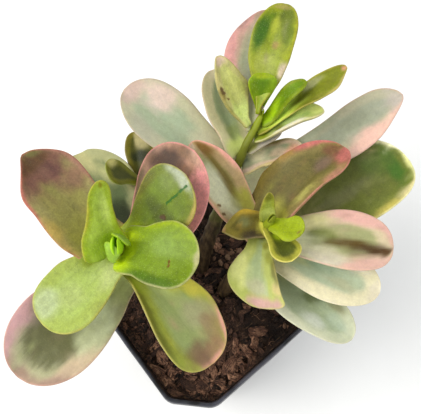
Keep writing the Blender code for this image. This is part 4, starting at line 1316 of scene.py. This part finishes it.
def shape_leaf(number, look, section, blank):
    """Where the blank's points go to make the leaf.

    It also gives how many mm to the left of the midrib and from the base each point is on the flattened
    leaf, and the greatest half width in mm.
    """
    ring, left_share, upper = blank.ring, np.cos(blank.angle), np.sin(blank.angle)
    first = len(BASE_RINGS)
    place = np.clip((ring - first) / (blank.rings - first), 0, 1) * (len(section.length) - 1)
    scale, forward = np.ones(len(ring)), np.zeros(len(ring))
    for row, (share, shift) in enumerate(BASE_RINGS):
        scale[ring == row] = share
        forward[ring == row] = shift * MM

    middle, up = between(section.middle, place), between(section.up, place)
    middle = section.middle[0] + (middle - section.middle[0]) * look.reach
    up /= np.linalg.norm(up, axis=1)[:, None]
    along_mm = between(section.length, place) / MM
    along = along_mm / along_mm.max()

    wide = np.maximum(between(section.wide, place), 0)
    wide *= 1 + 0.025 * field(table(along * 3.1, left_share * 0.8, number), number)
    x = left_share * wide * scale * np.where(left_share > 0, *margins(look, along))
    thick = np.maximum(between(section.thick, place), 0)
    full = np.where(upper > 0, UPPER_FULLNESS, LOWER_FULLNESS)
    z = thick * scale * np.sign(upper) * np.abs(upper) ** MARGIN_SHAPE * full
    z += between(section.lift, place) * np.abs(left_share) ** FOLD_SHAPE * scale

    body = smooth_step(along, 0.1, 0.5)
    ripple = field(table(along_mm * 0.16, np.sign(left_share) * 3, 0), number + 40)
    relief = SMALL_RELIEF if blank.small else 1
    z += look.wave * MM * ripple * left_share**2 * body * (SMALL_WAVE if blank.small else 1)
    dents = field(table(along_mm * 0.07, x / MM * 0.09, 0), number + 80)
    z += DENT_DEPTH * dents * body * relief
    groove = np.exp(-((x / MM / GROOVE_WIDTH) ** 2)) * smooth_step(along, 0, 0.1)
    groove *= 1 - smooth_step(along, 0.55, 0.95)
    z -= GROOVE_DEPTH * groove * (upper > 0) * relief

    forward -= np.minimum(x**2 / CLASP_CURVE, CLASP_DEPTH) * (1 - smooth_step(along, 0, 0.2))
    sideways = x + look.sway * MM * along**2
    points = middle + section.across * sideways[:, None] + up * z[:, None]
    points += np.cross(section.across, up) * forward[:, None]
    points[:, 2] -= look.drop * MM * (1 - smooth_step(along, 0, 0.7))
    return points, x / MM, along_mm, wide.max() / MM


def colour_leaf(leaf, number, look, section, blank, x_mm, along_mm, half_width_mm):
    """Paints the leaf's colours on its points, with where its rim, its heart and its upper side are."""
    streaky = table(along_mm * 0.13, x_mm * 0.34, number * 7.0)
    skin, heart = paint(look, along_mm / along_mm.max(), np.cos(blank.angle), streaky)
    write_colours(leaf, "skin", skin)
    write_colours(leaf, "heart", heart)
    # painted light: the rim is scaled by the leaf's light too
    write_colours(leaf, "rim", pigment(look.rim) * look.light)
    edge = outline_distance(look, x_mm * MM, along_mm * MM, section) / MM
    margin = (1 - look.spread) * 0.5
    write_numbers(leaf, "edge", edge * (SMALL_RIM if blank.small else 1))
    write_numbers(leaf, "inner", smooth_step(np.clip(edge / half_width_mm, 0, 1), margin, margin + 0.5))
    write_numbers(leaf, "mottle", look.mottle)
    write_numbers(leaf, "upper", smooth_step(np.sin(blank.angle), -0.25, 0.25))
    flat = table(x_mm, along_mm) / LEAF_UV
    write_uv(leaf, "blade", flat + number * 0.37)
    write_uv(leaf, "flat", flat)


def make_leaf(number, node, look, large, small, finish):
    section = read_section(node)
    blank = small if section.length[-1] < SMALL_LEAF else large
    leaf = add_object(node.replace("_leaf", "_blade"), blank.piece.data.copy())
    points, *flattened = shape_leaf(number, look, section, blank)
    move_points(leaf, np.clip(points, *(np.array(corner) for corner in cad_box)))
    colour_leaf(leaf, number, look, section, blank, *flattened)
    leaf.data.shade_smooth()
    finish_piece(leaf, finish, SLOTS[node], node)


def make_leaves():
    """Every leaf in the skin of its kind, or in one of its own where it has scars."""
    skins = {kind: leaf_skin(kind + "_skin", *looks) for kind, looks in LEAF_KINDS.items()}
    large = leaf_blank("large_leaf_blank", False, *LARGE_BLANK)
    small = leaf_blank("small_leaf_blank", True, *SMALL_BLANK)
    for number, (node, look) in enumerate(LOOKS.items()):
        skin = skins[SLOTS[node]]
        if look.marks:
            skin = leaf_skin(f"{node}_skin", *LEAF_KINDS[SLOTS[node]], look.marks)
        make_leaf(number, node, look, large, small, skin)
    for blank in (large, small):
        bpy.data.objects.remove(blank.piece, do_unlink=True)


# Studio

CAMERA_PLACE = (-36.41 * MM, -48.15 * MM, 229.0 * MM)
CAMERA_HEADING = -39.4  # degrees
CAMERA_BELOW_LEVEL = 60  # degrees that it looks down
FILM_WIDTH = 36
FOCAL_SHARE = 460 / 421  # focal length against the width of the film


def make_floor():
    bpy.ops.mesh.primitive_plane_add(size=4)
    floor = named("studio_floor")
    finish = Finish("studio_floor", Roughness=0.9)
    grain = finish.noise(finish.objects_place(), 40, 3)
    floor.data.materials.append(finish.cover(Base_Color=finish.mix("f4f4f2", "fafaf9", grain)))


def add_light(name, place, size, power, colour):
    """A round lamp that faces the middle of the plant."""
    light = bpy.data.lights.new(name, "AREA")
    light.shape, light.size, light.energy, light.color = "DISK", size, power, colour
    lamp = add_object(name, light)
    lamp.location = place
    middle = (cad_box[0] + cad_box[1]) / 2
    lamp.rotation_euler = (middle - Vector(place)).to_track_quat("-Z", "Y").to_euler()


def light_studio():
    world = bpy.data.worlds.new("studio_light")
    bpy.context.scene.world = world
    world.use_nodes = True
    sky = world.node_tree.nodes["Background"]
    sky.inputs["Color"].default_value = (0.97, 0.985, 1, 1)
    sky.inputs["Strength"].default_value = 0.62
    add_light("soft_window", (-0.75, 0.3, 0.85), 0.95, 13.0, (1, 0.985, 0.96))
    add_light("fill", (0.5, -0.7, 0.8), 1.0, 3.0, (0.96, 0.98, 1))
    bpy.context.scene.view_settings.view_transform = "Standard"


def place_camera():
    camera = bpy.data.cameras.new("camera")
    camera.sensor_width = FILM_WIDTH
    camera.lens = FILM_WIDTH * FOCAL_SHARE
    camera.clip_start, camera.clip_end = 0.01, 10
    viewer = add_object("camera", camera)
    viewer.location = CAMERA_PLACE
    viewer.rotation_euler = (math.radians(90 - CAMERA_BELOW_LEVEL), 0, math.radians(CAMERA_HEADING))
    bpy.context.scene.camera = viewer


deselect()  # the CAD nodes come in selected
place_camera()
light_studio()
make_floor()
make_pot()
soil_finish = potting_soil()
soil_surface = make_soil(soil_finish)
make_crumbs(soil_surface, soil_finish)
make_rootlets(soil_surface, soil_finish)
bark_finish = bark()
make_loose_bark(soil_surface, bark_finish)
stem_finish = stem_skin()
for order, (part_name, part_slot) in enumerate(SLOTS.items()):
    if part_slot == "bark":
        make_chip(part_name, order, bark_finish)
    elif part_slot == "stem_skin":
        make_stem(part_name, stem_finish)
        make_growing_tip(part_name, *GROWING_TIPS[part_name], stem_finish)
make_leaves()
